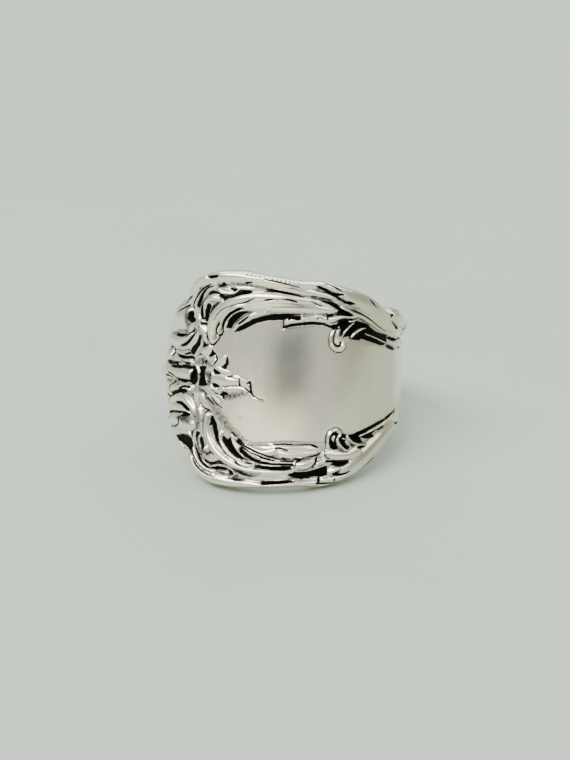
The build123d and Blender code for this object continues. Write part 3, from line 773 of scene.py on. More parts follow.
POCKETS_BELOW = {
    "ogival pocket": (
        (-12.4, 5.5), (-11.8, 5.98), (-10.8, 6.2), (-10.15, 6.45), (-9.85, 6.85), (-9.4, 7.3),
        (-9.5, 6.9), (-9.65, 6.6), (-9.45, 6.4), (-9.5, 6.0), (-9.7, 5.6), (-10.2, 5.42),
        (-11.0, 5.36), (-11.6, 5.44),
    ),
    "first flute": (
        (-7.15, 3.4), (-7.22, 4.3), (-7.0, 4.05), (-6.92, 4.4), (-6.75, 5.0), (-6.5, 5.6),
        (-6.0, 6.02), (-5.75, 6.18), (-6.0, 5.8), (-6.2, 5.3), (-6.3, 4.9), (-6.45, 4.5),
        (-6.5, 4.1), (-6.9, 3.4),
    ),
    "second flute": (
        (-5.8, 5.0), (-5.76, 5.5), (-5.4, 6.0), (-4.9, 6.5), (-4.2, 6.95), (-3.2, 7.12),
        (-3.9, 6.75), (-4.5, 6.2), (-4.9, 5.6), (-5.02, 5.1), (-5.3, 5.4),
    ),
    "third flute": (
        (-4.1, 6.0), (-4.0, 6.42), (-3.6, 6.74), (-3.1, 7.02), (-2.5, 7.27), (-2.0, 7.37),
        (-1.85, 7.15), (-2.6, 6.93), (-3.2, 6.62), (-3.6, 6.32), (-3.9, 6.0),
    ),
    "upper bar": (
        (-2.7, 7.6), (-2.3, 7.76), (-1.9, 7.7), (-1.0, 7.83), (0.2, 7.86), (0.68, 7.7), (0.6, 7.5),
        (-0.1, 7.52), (-0.9, 7.58), (-1.9, 7.46), (-2.3, 7.5),
    ),
    "lower bar": (
        (-2.3, 7.25), (-1.9, 7.38), (-1.0, 7.4), (0.85, 7.47), (0.87, 7.28), (-0.2, 7.28),
        (-1.2, 7.28), (-1.9, 7.12),
    ),
    "great wedge": (
        (0.4, 8.27), (0.9, 8.5), (1.5, 8.63), (2.3, 8.6), (2.4, 8.45), (2.9, 8.4), (3.3, 8.46),
        (3.7, 8.4), (4.0, 8.35), (4.0, 7.48), (3.5, 7.6), (2.8, 7.83), (2.0, 8.0), (1.0, 8.05),
    ),
    "rim hollow": (
        (-2.1, 9.0), (-1.8, 9.2), (-0.8, 9.1), (0.4, 8.97), (0.97, 8.85), (0.7, 8.78), (-0.5, 8.88),
        (-1.2, 8.95),
    ),
    "under the drop": (
        (4.3, 7.38), (4.9, 7.52), (5.6, 7.5), (6.0, 7.32), (6.28, 7.12), (5.4, 7.18), (4.9, 7.17),
    ),
    "in the volute": (
        (4.3, 5.9), (4.6, 6.1), (5.1, 6.05), (4.95, 5.6), (4.85, 5.2), (5.0, 4.95), (5.1, 4.7),
        (4.8, 4.5), (4.4, 4.65), (4.2, 5.0), (4.2, 5.5),
    ),
    "under the small leaf": (
        (5.05, 5.3), (5.4, 5.8), (5.9, 6.05), (6.35, 6.0), (5.95, 5.7), (5.78, 5.45), (5.92, 5.2),
        (5.85, 4.95), (6.0, 4.8), (5.4, 4.68), (5.3, 4.9),
    ),
    "under the long leaf": (
        (6.1, 4.93), (6.5, 5.3), (7.1, 5.56), (7.85, 5.6), (7.6, 5.3), (7.45, 5.03), (7.3, 4.93),
        (6.6, 4.83), (6.2, 4.78),
    ),
    "over the long leaf": ((6.9, 5.95), (7.3, 6.04), (7.8, 5.96), (8.28, 5.74), (7.6, 5.86)),
    "over the rail": (
        (7.45, 5.0), (7.9, 5.2), (8.5, 5.26), (9.28, 5.15), (9.05, 4.85), (9.6, 4.58), (10.3, 4.52),
        (10.8, 4.36), (10.98, 4.08), (10.3, 4.24), (9.5, 4.48), (8.4, 4.82),
    ),
    "under the rail": (
        (6.4, 4.87), (7.3, 4.92), (8.0, 4.74), (9.0, 4.4), (10.0, 4.1), (11.0, 3.82), (11.5, 3.6),
        (10.7, 3.66), (9.8, 3.83), (8.8, 4.13), (7.8, 4.43), (6.9, 4.68),
    ),
    "beside the hook": (
        (-9.7, 5.0), (-9.5, 5.4), (-9.3, 5.5), (-9.25, 5.1), (-9.1, 4.9), (-9.4, 4.95),
    ),
    "hook": (
        (-9.1, 5.3), (-9.0, 5.8), (-8.8, 5.8), (-8.7, 5.4), (-8.5, 5.0), (-8.8, 4.9), (-9.0, 5.05),
    ),
    "slit": (
        (-8.4, 5.3), (-8.45, 5.6), (-8.25, 6.1), (-8.0, 6.68), (-7.93, 6.2), (-8.05, 5.7),
        (-8.2, 5.4),
    ),
    "in the bean": ((-5.2, 7.98), (-4.8, 8.12), (-4.66, 8.35), (-4.8, 8.55), (-4.95, 8.3)),
}

RIBS_BELOW = {
    "white bar": ((-2.1, 7.42, 0.04, 0.5), (-1.2, 7.48, 0.06, 0.6), (-0.25, 7.5, 0.04, 0.54)),
    "flute edge": (
        (-4.93, 4.85, 0.06, 0.48), (-4.3, 5.28, 0.05, 0.52), (-3.7, 5.7, 0.04, 0.54),
        (-3.1, 6.02, 0.03, 0.54),
    ),
    "between the lines": (
        (-4.0, 5.68, 0.04, 0.56), (-3.2, 6.16, 0.05, 0.6), (-2.4, 6.47, 0.05, 0.6),
        (-1.4, 6.79, 0.04, 0.58),
    ),
    "bean rim": (
        (-7.2, 7.92, 0.04, 0.5), (-6.6, 7.75, 0.06, 0.58), (-5.9, 7.68, 0.07, 0.62),
        (-5.2, 7.8, 0.07, 0.62), (-4.65, 8.08, 0.06, 0.58), (-4.5, 8.4, 0.05, 0.56),
        (-4.8, 8.62, 0.03, 0.52),
    ),
    "outer comb": (
        (-9.5, 6.6, 0.03, 0.5), (-9.1, 7.2, 0.05, 0.58), (-8.5, 7.85, 0.05, 0.62),
        (-7.6, 8.4, 0.05, 0.62), (-6.7, 8.65, 0.05, 0.6),
    ),
    "inner comb": (
        (-9.35, 6.3, 0.03, 0.5), (-8.9, 6.95, 0.05, 0.58), (-8.3, 7.62, 0.05, 0.6),
        (-7.6, 8.05, 0.05, 0.6), (-6.8, 8.28, 0.05, 0.58),
    ),
    "hook": (
        (-9.3, 5.6, 0.03, 0.48), (-9.18, 5.1, 0.06, 0.54), (-8.9, 4.82, 0.06, 0.54),
        (-8.55, 4.78, 0.03, 0.48),
    ),
    "small leaf": (
        (5.0, 5.2, 0.04, 0.44), (5.25, 5.7, 0.06, 0.56), (5.75, 6.12, 0.07, 0.58),
        (6.35, 6.28, 0.05, 0.54),
    ),
    "leaf bead": ((5.5, 5.12, 0.05, 0.44), (5.75, 5.2, 0.05, 0.46)),
    "long leaf": (
        (6.02, 4.95, 0.05, 0.44), (6.45, 5.45, 0.1, 0.56), (7.15, 5.7, 0.12, 0.58),
        (8.1, 5.74, 0.08, 0.54),
    ),
    "rail": (
        (7.3, 5.0, 0.03, 0.48), (9.0, 4.52, 0.05, 0.54), (11.0, 3.96, 0.05, 0.52),
        (12.8, 3.38, 0.05, 0.44),
    ),
    "volute": (
        (4.6, 6.2, 0.03, 0.4), (4.2, 5.98, 0.05, 0.44), (4.05, 5.5, 0.06, 0.46),
        (4.1, 4.95, 0.07, 0.46), (4.4, 4.5, 0.08, 0.46), (4.85, 4.36, 0.08, 0.46),
        (5.24, 4.52, 0.07, 0.44), (5.3, 4.85, 0.05, 0.42), (5.12, 4.98, 0.04, 0.4),
    ),
    "volute eye": ((4.58, 5.38, 0.04, 0.42), (4.52, 5.1, 0.14, 0.52), (4.62, 4.9, 0.12, 0.5)),
    "curl": (
        (-10.3, 0.88, 0.04, 0.5), (-9.75, 0.86, 0.06, 0.56), (-9.5, 1.12, 0.07, 0.56),
        (-9.75, 1.34, 0.05, 0.54), (-10.3, 1.32, 0.03, 0.5),
    ),
    "edge of the pocket": (
        (-11.2, 6.1, 0.03, 0.46), (-10.6, 6.3, 0.05, 0.54), (-10.1, 6.55, 0.04, 0.52),
    ),
}

LINES_BELOW = {
    "outer comb": (
        (-9.4, 7.25, 0.08), (-8.9, 7.78, 0.07), (-8.2, 8.2, 0.05), (-7.4, 8.56, 0.03),
        (-6.6, 8.75, 0.02),
    ),
    "middle comb": (
        (-9.45, 6.6, 0.05), (-9.0, 7.15, 0.05), (-8.4, 7.75, 0.05), (-7.7, 8.16, 0.04),
        (-6.9, 8.4, 0.03),
    ),
    "inner comb": (
        (-9.3, 6.1, 0.05), (-8.8, 6.82, 0.05), (-8.2, 7.45, 0.05), (-7.5, 7.9, 0.06),
        (-6.9, 8.06, 0.02),
    ),
    "over the pocket": ((-11.6, 5.95, 0.06), (-10.95, 6.4, 0.08), (-10.4, 6.58, 0.03)),
    "stem": ((-7.95, 5.1, 0.04), (-7.7, 5.6, 0.08), (-7.3, 6.1, 0.08), (-6.9, 6.5, 0.04)),
    "over the bud": (
        (-7.9, 7.4, 0.04), (-7.3, 7.6, 0.06), (-6.8, 7.56, 0.05), (-6.2, 7.35, 0.03),
        (-5.6, 7.3, 0.02),
    ),
    "under the bud": ((-7.75, 6.8, 0.02), (-7.0, 6.66, 0.03), (-6.4, 6.75, 0.02)),
    "under the bean": ((-6.9, 7.98, 0.05), (-6.2, 7.97, 0.06), (-5.4, 8.0, 0.04)),
    "along the bean": ((-4.3, 8.1, 0.03), (-3.6, 8.3, 0.04), (-2.9, 8.48, 0.03)),
    "left of the great flute": (
        (-7.8, 3.2, 0.04), (-8.0, 3.9, 0.04), (-8.05, 4.8, 0.05), (-7.78, 5.4, 0.04),
    ),
    "tip of the great flute": ((-7.85, 3.2, 0.03), (-7.5, 2.95, 0.04), (-7.15, 3.1, 0.04)),
    "end of the flute": (
        (-4.5, 7.05, 0.03), (-4.2, 7.4, 0.05), (-3.7, 7.65, 0.03), (-3.0, 7.78, 0.02),
    ),
    "beside the second flute": ((-5.7, 6.25, 0.03), (-5.1, 6.75, 0.02), (-4.6, 7.0, 0.02)),
    "lobe crescent": (
        (-11.9, 2.5, 0.04), (-11.2, 2.6, 0.08), (-10.6, 2.85, 0.08), (-10.1, 3.1, 0.12),
        (-9.6, 3.4, 0.08), (-9.2, 3.65, 0.04),
    ),
    "under the broad lobe": (
        (-14.2, 3.65, 0.09), (-13.6, 3.5, 0.08), (-12.8, 3.4, 0.04), (-11.9, 3.33, 0.04),
        (-10.8, 3.4, 0.03),
    ),
    "dark root": ((-11.15, 3.6, 0.06), (-10.7, 3.58, 0.1), (-10.1, 3.5, 0.05)),
    "lobe box": ((-12.8, 4.75, 0.03), (-12.0, 4.65, 0.04), (-11.3, 4.4, 0.04), (-11.25, 3.8, 0.03)),
    "lobe spot": ((-13.45, 4.78, 0.14), (-13.15, 4.75, 0.11)),
    "lobe scratch": ((-13.2, 4.1, 0.03), (-12.8, 3.75, 0.04)),
    "low lobe": (
        (-14.8, 2.65, 0.11), (-14.2, 2.5, 0.2), (-13.7, 2.2, 0.24), (-13.2, 1.95, 0.26),
        (-12.6, 1.76, 0.2), (-12.0, 1.62, 0.14), (-11.3, 1.4, 0.1), (-10.7, 1.46, 0.05),
    ),
    "root": ((-15.4, 1.95, 0.12), (-14.5, 2.1, 0.08), (-14.0, 2.2, 0.11)),
    "root fork": ((-13.5, 1.9, 0.17), (-13.45, 1.4, 0.12), (-13.1, 1.0, 0.11), (-12.6, 0.7, 0.08)),
    "curl": (
        (-11.6, 1.3, 0.06), (-11.0, 1.04, 0.09), (-10.4, 1.02, 0.05), (-10.02, 1.0, 0.09),
        (-10.1, 1.12, 0.05),
    ),
    "petal edge": ((-9.8, 1.62, 0.04), (-9.5, 1.85, 0.05), (-9.15, 2.08, 0.03)),
    "bars end": ((-0.3, 7.08, 0.02), (0.3, 7.08, 0.04), (0.85, 7.1, 0.04)),
    "first fine line": (
        (-4.35, 5.42, 0.06), (-3.9, 5.86, 0.07), (-3.3, 6.24, 0.06), (-2.6, 6.56, 0.05),
        (-1.8, 6.86, 0.04), (-0.8, 7.05, 0.03),
    ),
    "second fine line": (
        (-4.2, 5.36, 0.04), (-3.7, 5.74, 0.06), (-3.1, 6.04, 0.06), (-2.3, 6.38, 0.05),
        (-1.4, 6.68, 0.04), (-0.5, 6.92, 0.03), (0.2, 6.95, 0.02),
    ),
    "border of the panel": (
        (-4.9, 4.72, 0.04), (-4.2, 5.25, 0.03), (-3.5, 5.62, 0.02), (-2.6, 5.8, 0.02),
        (-1.4, 5.74, 0.02),
    ),
    "leaf lip": ((-0.72, 5.94, 0.05), (-0.4, 5.92, 0.05), (-0.1, 6.0, 0.04), (0.35, 6.15, 0.03)),
    "lip edge": ((-0.95, 5.64, 0.03), (0.0, 5.58, 0.04), (1.0, 5.64, 0.03), (2.4, 5.62, 0.04)),
    "lip end": ((2.45, 5.63, 0.05), (2.75, 5.72, 0.08), (3.1, 5.86, 0.05)),
    "bud edge": ((0.95, 7.75, 0.02), (1.1, 7.2, 0.03), (1.4, 7.0, 0.03)),
    "under the bud by the bars": ((1.0, 6.87, 0.05), (1.5, 6.88, 0.06)),
    "bud crescent": ((2.6, 7.62, 0.03), (2.76, 7.35, 0.07), (2.95, 7.05, 0.06), (3.02, 6.75, 0.04)),
    "bud root": ((2.2, 6.62, 0.02), (2.8, 6.6, 0.04), (3.1, 6.48, 0.06), (3.35, 6.4, 0.05)),
    "rosette edge": ((2.95, 9.05, 0.05), (3.7, 9.05, 0.06), (4.2, 9.02, 0.05), (4.9, 9.06, 0.04)),
    "rosette gap": ((3.22, 8.92, 0.08), (3.25, 8.55, 0.08)),
    "rosette dot": ((4.66, 8.85, 0.05), (4.66, 8.66, 0.05)),
    "rosette arc": ((4.5, 8.15, 0.03), (5.0, 8.28, 0.06), (5.6, 8.24, 0.07), (6.15, 8.0, 0.03)),
    "drop dot": ((5.14, 7.98, 0.05), (5.2, 7.9, 0.04)),
    "under the wedge": ((3.9, 7.1, 0.05), (4.5, 7.13, 0.06), (5.0, 7.2, 0.05)),
    "sweep root": ((3.75, 6.1, 0.02), (3.7, 6.4, 0.03), (3.9, 6.75, 0.03), (4.2, 6.88, 0.02)),
    "outside of the leaves": ((5.4, 6.25, 0.02), (6.0, 6.34, 0.02)),
    "edge of the sweep": ((7.3, 8.0, 0.02), (8.1, 7.5, 0.04), (9.0, 6.88, 0.03)),
    "low edge of the sweep": ((10.6, 6.0, 0.03), (11.3, 5.66, 0.07), (12.1, 5.36, 0.04)),
    "end of the rail": (
        (10.9, 4.08, 0.05), (11.6, 3.84, 0.04), (12.6, 3.5, 0.03), (13.4, 3.25, 0.07),
    ),
    "far end of the rail": (
        (11.2, 3.66, 0.09), (12.0, 3.44, 0.08), (12.8, 3.2, 0.07), (13.6, 2.96, 0.06),
    ),
    "round the volute": (
        (3.92, 5.75, 0.015), (3.86, 5.05, 0.02), (4.13, 4.38, 0.02), (4.75, 4.15, 0.02),
        (5.3, 4.28, 0.02), (5.5, 4.65, 0.015),
    ),
    "end mark": ((12.9, 4.12, 0.04), (13.3, 4.25, 0.07), (13.9, 4.1, 0.06)),
}

STAINS_AND_SHADE_BELOW = {
    # Painted shade on the sloping bevel at the lower-left edge of the panel.
    "edge of the panel": (
        (-7.3, 2.1, 0.4, 0.14), (-6.8, 2.65, 0.62, 0.21), (-6.25, 3.25, 0.7, 0.23),
        (-5.7, 3.85, 0.68, 0.24), (-5.1, 4.4, 0.56, 0.24), (-4.4, 4.85, 0.44, 0.22),
        (-3.6, 5.3, 0.26, 0.18),
    ),
    "broad lobe": ((-11.4, 3.8, 0.3, 0.3), (-10.6, 3.85, 0.5, 0.36), (-9.9, 4.0, 0.4, 0.26)),
    "knot": ((-8.9, 3.1, 0.5, 0.26), (-8.6, 4.0, 0.5, 0.3), (-8.8, 4.8, 0.4, 0.26)),
    "stem": (
        (-8.8, 5.4, 0.4, 0.3), (-8.3, 6.4, 0.4, 0.32), (-7.6, 6.7, 0.3, 0.3),
        (-6.8, 6.75, 0.2, 0.2),
    ),
    "bean": ((-6.6, 8.1, 0.25, 0.26), (-5.6, 8.3, 0.3, 0.3), (-4.9, 8.45, 0.25, 0.3)),
    # Painted shade below the band beside the bean.
    "band": (
        (-5.0, 8.72, 0.2, 0.4), (-4.3, 8.82, 0.22, 0.56), (-3.7, 8.85, 0.2, 0.5),
        (-3.0, 8.82, 0.16, 0.2),
    ),
    # Painted shade along the lower edge of the great flute, next to the bean's rim.
    "beside the flute": (
        (-4.5, 8.0, 0.1, 0.36), (-3.8, 8.3, 0.14, 0.5), (-3.0, 8.45, 0.14, 0.44),
        (-2.4, 8.5, 0.1, 0.24),
    ),
    "end of the flute": ((-4.0, 8.2, 0.2, 0.2), (-3.0, 8.25, 0.25, 0.26), (-2.0, 8.25, 0.2, 0.2)),
    "great flute": ((-5.4, 7.45, 0.14, 0.2), (-4.4, 7.95, 0.14, 0.24), (-3.2, 8.2, 0.12, 0.2)),
    "lip": ((2.3, 6.2, 0.25, 0.16), (3.2, 6.6, 0.3, 0.2)),
}

work_metal(FORMS_BELOW, STAINS_AND_SHADE_BELOW, POCKETS_BELOW, RIBS_BELOW, LINES_BELOW, side=-1)


# The palmette at the narrow end of the panel: a long tongue, a crescent that ties it, and small
# petals that lie over the panel. It is struck from the same metal, and the holes between the petals
# are punched deep. The tables have the same columns, with up measured upward.
FORMS_PALMETTE = {
    "tongue": (
        (-18.4, 0.05, 0.5, 0.44), (-17.0, 0.05, 0.74, 0.66), (-15.0, 0.05, 0.72, 0.72),
        (-13.0, 0.1, 0.58, 0.7), (-11.0, 0.12, 0.58, 0.68), (-9.95, 0.1, 0.56, 0.6),
    ),
    "palm": ((-7.7, 0.1, 0.9, 0.44), (-6.6, -0.05, 0.8, 0.48), (-5.6, -0.1, 0.6, 0.48)),
    "long petal": ((-6.4, -0.15, 0.5, 0.48), (-5.2, -0.22, 0.46, 0.5), (-4.2, -0.22, 0.42, 0.49)),
    "petal tip": ((-4.0, -0.15, 0.36, 0.46), (-3.5, -0.25, 0.28, 0.44), (-3.2, -0.4, 0.12, 0.41)),
    "lower petal edge": (
        (-6.2, -0.9, 0.26, 0.42), (-5.2, -0.95, 0.34, 0.44), (-4.2, -0.95, 0.3, 0.43),
        (-3.4, -1.0, 0.12, 0.4),
    ),
    "first petal": (
        (-7.9, 0.6, 0.26, 0.42), (-7.0, 0.9, 0.34, 0.47), (-6.2, 0.78, 0.3, 0.47),
        (-5.3, 0.6, 0.14, 0.42),
    ),
    "second petal": (
        (-7.7, 1.1, 0.26, 0.42), (-6.9, 1.35, 0.4, 0.47), (-6.2, 1.45, 0.32, 0.47),
        (-5.62, 1.85, 0.16, 0.42),
    ),
    "third petal": ((-8.2, 1.5, 0.22, 0.41), (-7.4, 1.75, 0.3, 0.44), (-6.75, 1.9, 0.18, 0.42)),
    "fourth petal": (
        (-9.1, 1.4, 0.2, 0.41), (-8.3, 2.05, 0.32, 0.47), (-7.75, 2.45, 0.36, 0.49),
        (-7.3, 2.72, 0.2, 0.44),
    ),
    "fifth petal": (
        (-7.8, -0.6, 0.26, 0.42), (-7.0, -0.95, 0.34, 0.47), (-6.3, -1.15, 0.26, 0.46),
        (-5.9, -1.1, 0.16, 0.41),
    ),
    "sixth petal": (
        (-8.2, -1.0, 0.26, 0.42), (-7.2, -1.5, 0.3, 0.46), (-6.4, -2.1, 0.28, 0.46),
        (-5.92, -2.4, 0.18, 0.42),
    ),
    "seventh petal": (
        (-8.8, -1.1, 0.3, 0.43), (-8.3, -1.7, 0.4, 0.48), (-7.9, -2.25, 0.42, 0.49),
        (-7.6, -2.5, 0.28, 0.44),
    ),
    "eighth petal": ((-7.7, -1.6, 0.2, 0.41), (-7.1, -2.0, 0.2, 0.43), (-6.6, -2.35, 0.16, 0.41)),
    "ragged edge": (
        (-5.5, -1.6, 0.16, 0.37), (-4.8, -1.55, 0.2, 0.38), (-4.1, -1.3, 0.18, 0.38),
        (-3.4, -1.2, 0.12, 0.37),
    ),
}

HOLES = {
    "left of the crescent": (
        (-9.6, 1.0), (-9.33, 0.96), (-8.97, 0.76), (-8.78, 0.36), (-8.72, -0.05), (-8.82, -0.41),
        (-9.12, -0.72), (-9.5, -0.8), (-9.75, -0.75), (-10.0, -0.5), (-9.85, -0.2), (-9.7, 0.2),
        (-9.6, 0.6),
    ),
    "right of the crescent": (
        (-8.78, 0.85), (-8.4, 0.94), (-7.7, 0.94), (-7.85, 0.5), (-7.85, 0.0), (-7.75, -0.4),
        (-7.5, -0.66), (-8.1, -0.8), (-8.88, -0.77), (-8.68, -0.46), (-8.55, -0.1), (-8.57, 0.3),
        (-8.66, 0.62),
    ),
    "first": (
        (-6.9, 0.55), (-6.85, 0.82), (-6.7, 0.82), (-6.5, 0.65), (-6.2, 0.5), (-5.95, 0.45),
        (-6.4, 0.35), (-6.7, 0.35),
    ),
    "second": (
        (-7.05, -0.6), (-6.95, -0.45), (-6.6, -0.5), (-6.1, -0.72), (-6.4, -0.8), (-6.8, -0.85),
    ),
    "third": (
        (-6.1, 1.0), (-5.8, 1.15), (-5.6, 1.4), (-5.45, 1.95), (-5.35, 1.9), (-5.28, 1.2),
        (-5.45, 1.2), (-5.5, 0.85), (-5.75, 0.85),
    ),
    "fourth": (
        (-6.35, -1.45), (-6.0, -1.4), (-5.85, -1.15), (-5.6, -1.2), (-5.3, -1.3), (-5.45, -1.5),
        (-5.7, -1.4), (-5.7, -1.78), (-5.85, -1.8), (-5.95, -1.6), (-6.2, -1.5),
    ),
    "fifth": (
        (-7.55, 1.85), (-7.3, 2.1), (-7.05, 2.55), (-6.9, 2.3), (-6.6, 2.15), (-6.9, 1.95),
        (-7.2, 1.85),
    ),
    "sixth": ((-7.98, 1.1), (-7.95, 1.4), (-7.58, 1.57), (-7.7, 1.35), (-7.85, 1.05)),
}

RIBS_PALMETTE = {
    "crescent": (
        (-9.4, 1.0, 0.01, 0.5), (-9.0, 0.82, 0.02, 0.56), (-8.72, 0.42, 0.03, 0.58),
        (-8.62, 0.0, 0.035, 0.58), (-8.74, -0.42, 0.03, 0.56), (-9.1, -0.76, 0.02, 0.5),
    ),
    "bright edge": ((-5.85, 0.78, 0.04, 0.46), (-5.5, 0.62, 0.06, 0.5), (-5.05, 0.56, 0.04, 0.46)),
    "upper petal": ((-6.55, 1.3, 0.08, 0.5), (-6.1, 1.62, 0.13, 0.56), (-5.62, 1.95, 0.06, 0.5)),
    "petal lip": ((-4.85, 0.22, 0.04, 0.54), (-4.4, 0.18, 0.05, 0.6), (-4.1, 0.05, 0.04, 0.54)),
    "petal roots": ((-9.15, 1.55, 0.03, 0.46), (-8.7, 1.85, 0.05, 0.5), (-8.2, 2.15, 0.04, 0.5)),
}

LINES_PALMETTE = {
    "tongue": (
        (-13.2, 0.12, 0.04), (-12.4, -0.06, 0.06), (-11.8, -0.36, 0.08), (-11.2, -0.48, 0.08),
        (-10.4, -0.47, 0.07), (-9.8, -0.5, 0.09),
    ),
    "under the tongue": ((-12.0, -0.48, 0.04), (-11.2, -0.58, 0.06), (-10.6, -0.6, 0.03)),
    "tongue scratch": ((-14.0, -0.22, 0.06), (-13.3, -0.2, 0.07), (-12.6, -0.35, 0.04)),
    "small petal": ((-6.62, 2.0, 0.05), (-6.5, 1.55, 0.07), (-6.75, 1.27, 0.05)),
    "under the knot": ((-8.15, -1.12, 0.05), (-7.9, -1.3, 0.06), (-7.6, -1.5, 0.04)),
    "round the seventh petal": (
        (-8.45, -2.3, 0.06), (-8.3, -2.57, 0.08), (-7.9, -2.8, 0.04), (-7.4, -2.86, 0.02),
    ),
    "tip": (
        (-3.38, -0.35, 0.05), (-3.18, -0.2, 0.08), (-3.1, -0.55, 0.06), (-3.05, -0.95, 0.07),
        (-2.9, -1.35, 0.05), (-2.4, -1.62, 0.02), (-1.8, -1.76, 0.02),
    ),
    "over the long petal": ((-5.35, 0.18, 0.03), (-4.9, 0.25, 0.05)),
    "joint": ((-4.16, 0.04, 0.04), (-4.12, -0.58, 0.04)),
    "under the long petal": (
        (-5.75, -0.76, 0.03), (-4.9, -0.62, 0.02), (-3.95, -0.62, 0.02), (-3.5, -0.85, 0.04),
        (-3.15, -1.1, 0.04),
    ),
    "small root": ((-8.36, 1.12, 0.04), (-8.2, 1.35, 0.06)),
    "eighth petal": ((-7.45, -1.75, 0.03), (-7.2, -2.0, 0.05), (-6.8, -2.35, 0.03)),
    "sixth petal": (
        (-7.05, -1.65, 0.03), (-6.7, -2.02, 0.04), (-6.2, -2.45, 0.05), (-5.9, -2.56, 0.03),
    ),
    "fifth petal": ((-7.0, -1.0, 0.02), (-6.6, -1.3, 0.03), (-6.3, -1.42, 0.04)),
    "fourth petal": ((-9.0, 1.75, 0.02), (-8.5, 2.0, 0.04), (-8.1, 2.02, 0.02)),
    "inner petal": ((-7.4, 0.3, 0.02), (-7.15, 0.15, 0.04), (-7.2, 0.45, 0.03)),
    "inner petal again": ((-7.6, -0.3, 0.02), (-7.2, -0.42, 0.03)),
}

STAINS_AND_SHADE_PALMETTE = {
    # Painted shade and a painted dark reflection under the long petal, on the polished panel.
    "ragged edge": (
        (-5.9, -1.55, 0.36, 0.24), (-5.2, -1.56, 0.48, 0.29), (-4.5, -1.42, 0.48, 0.27),
        (-3.8, -1.22, 0.42, 0.25), (-3.2, -1.2, 0.2, 0.18),
    ),
    "under the fifth petal": ((-5.9, -1.2, 0.2, 0.3), (-5.4, -1.15, 0.2, 0.2)),
    "middle": ((-7.6, 0.4, 0.4, 0.26), (-7.2, -0.1, 0.4, 0.3), (-7.4, -0.6, 0.3, 0.24)),
    "small petals": (
        (-9.0, 1.2, 0.3, 0.26), (-8.2, 1.5, 0.4, 0.3), (-7.4, 1.2, 0.3, 0.26),
        (-6.8, 1.0, 0.2, 0.2),
    ),
    "low petals": (
        (-8.6, -1.0, 0.3, 0.26), (-8.0, -1.5, 0.3, 0.28), (-7.3, -2.0, 0.25, 0.28),
        (-6.6, -2.4, 0.2, 0.2),
    ),
    "mark on the panel": ((-4.3, -3.3, 0.2, 0.1), (-3.8, -3.5, 0.25, 0.12)),
}

work_metal(FORMS_PALMETTE, STAINS_AND_SHADE_PALMETTE, HOLES, RIBS_PALMETTE, LINES_PALMETTE)


# The face as it is finished. The upper rim is milled with fine slanting nicks, and long wear has
# softened every edge. Tarnish stays where a polishing cloth can't reach: in the pockets and chased
# lines, and in places that lie well below the metal round them.
form_round = 0.08
pocket_round = 0.025
pocket_floor = 0.20
line_round = 0.03
stain_and_shade_round = 0.06
tarnish_and_shade_round = 0.02

# Where the milled line runs on the rim. Columns: along, up.
MILLED_LINE = ((-6.0, 9.36), (-4.4, 9.36), (-1.6, 9.10), (0.0, 8.83), (2.0, 8.62))
rim_slope_drop = 0.12
rim_slope_start = 0.3
rim_slope_width = 0.6
rim_slope_middle = -3.0
rim_slope_half_length = 5.0
rim_slope_fade = 1.5
mill_pitch = 0.36
mill_depth = 0.10
mill_black = 0.8
mill_width = 0.2
mill_slant = 0.3
mill_edge = 1.3
mill_middle = -1.1
mill_half_length = 2.9
mill_fade = 0.6

# Columns: reach of a hollow, depth where its tarnish starts, further depth to full, darkness.
HOLLOWS = ((0.12, 0.03, 0.08, 0.8), (0.3, 0.01, 0.14, 0.45))

uneven_seed = 7
uneven_reach = 0.45
uneven_height = 0.0035
plain_margin = 0.4
plain_start = -2.5
plain_round = 0.6
plain_evenness = 0.85


def soften(field, reach):
    """Blurs a field of the net by this many millimetres, as wear rounds a crisp edge."""
    half = int(3 * reach / net_step) + 1
    weights = np.exp(-0.5 * (np.arange(-half, half + 1) * net_step / reach) ** 2)
    weights /= weights.sum()
    for axis in (0, 1):
        margin = [(half, half) if axis == which else (0, 0) for which in (0, 1)]
        wide = np.pad(field, margin, mode="edge")
        length = field.shape[axis]
        field = sum(
            weight * wide.take(range(start, start + length), axis=axis)
            for start, weight in enumerate(weights)
        )
    return field


pocket = soften(pocket, pocket_round)
metal = soften(forms, form_round)
metal = metal * (1 - pocket) + pocket_floor * pocket
standing = fine > metal
metal = np.maximum(metal, fine)
black = np.maximum(black, np.where(standing, 0, pocket))

over_line = UP - np.interp(ALONG, *zip(*MILLED_LINE))
slope_share = ramp(rim_slope_half_length - np.abs(ALONG - rim_slope_middle), rim_slope_fade)
metal -= rim_slope_drop * ramp(over_line + rim_slope_start, rim_slope_width) * slope_share
mill_share = ramp(mill_half_length - np.abs(ALONG - mill_middle), mill_fade)
milled = np.exp(-((over_line / mill_width) ** 2)) * mill_share
wave = np.cos(2 * np.pi * (ALONG + mill_slant * UP) / mill_pitch)
nicks = milled * np.clip(mill_edge * wave, 0, 1)
cut = np.maximum(cut, mill_depth * nicks)
black = np.maximum(black, mill_black * nicks)
metal = soften(np.maximum(metal - cut, 0.0), line_round)

for reach, least, further, darkness in HOLLOWS:
    hollow = soften(metal, reach) - metal
    black = np.maximum(black, darkness * ramp(hollow - least, further))
# The brown marks, partly painted shade, join the tarnish in one field.
stained_and_shaded = np.where(standing, 0, soften(stained_and_shaded, stain_and_shade_round))
tarnish_and_shade = soften(np.maximum(black, stained_and_shaded), tarnish_and_shade_round)

# The plain part of the panel is kept even, and the rest is a little uneven from wear.
plain = np.where((inside_panel > plain_margin) & (ALONG > plain_start), 1.0, 0.0)
plain = soften(plain, plain_round)
uneven = soften(np.random.default_rng(uneven_seed).normal(size=metal.shape), uneven_reach)
metal += uneven_height * uneven / uneven.std() * (1 - plain_evenness * plain)


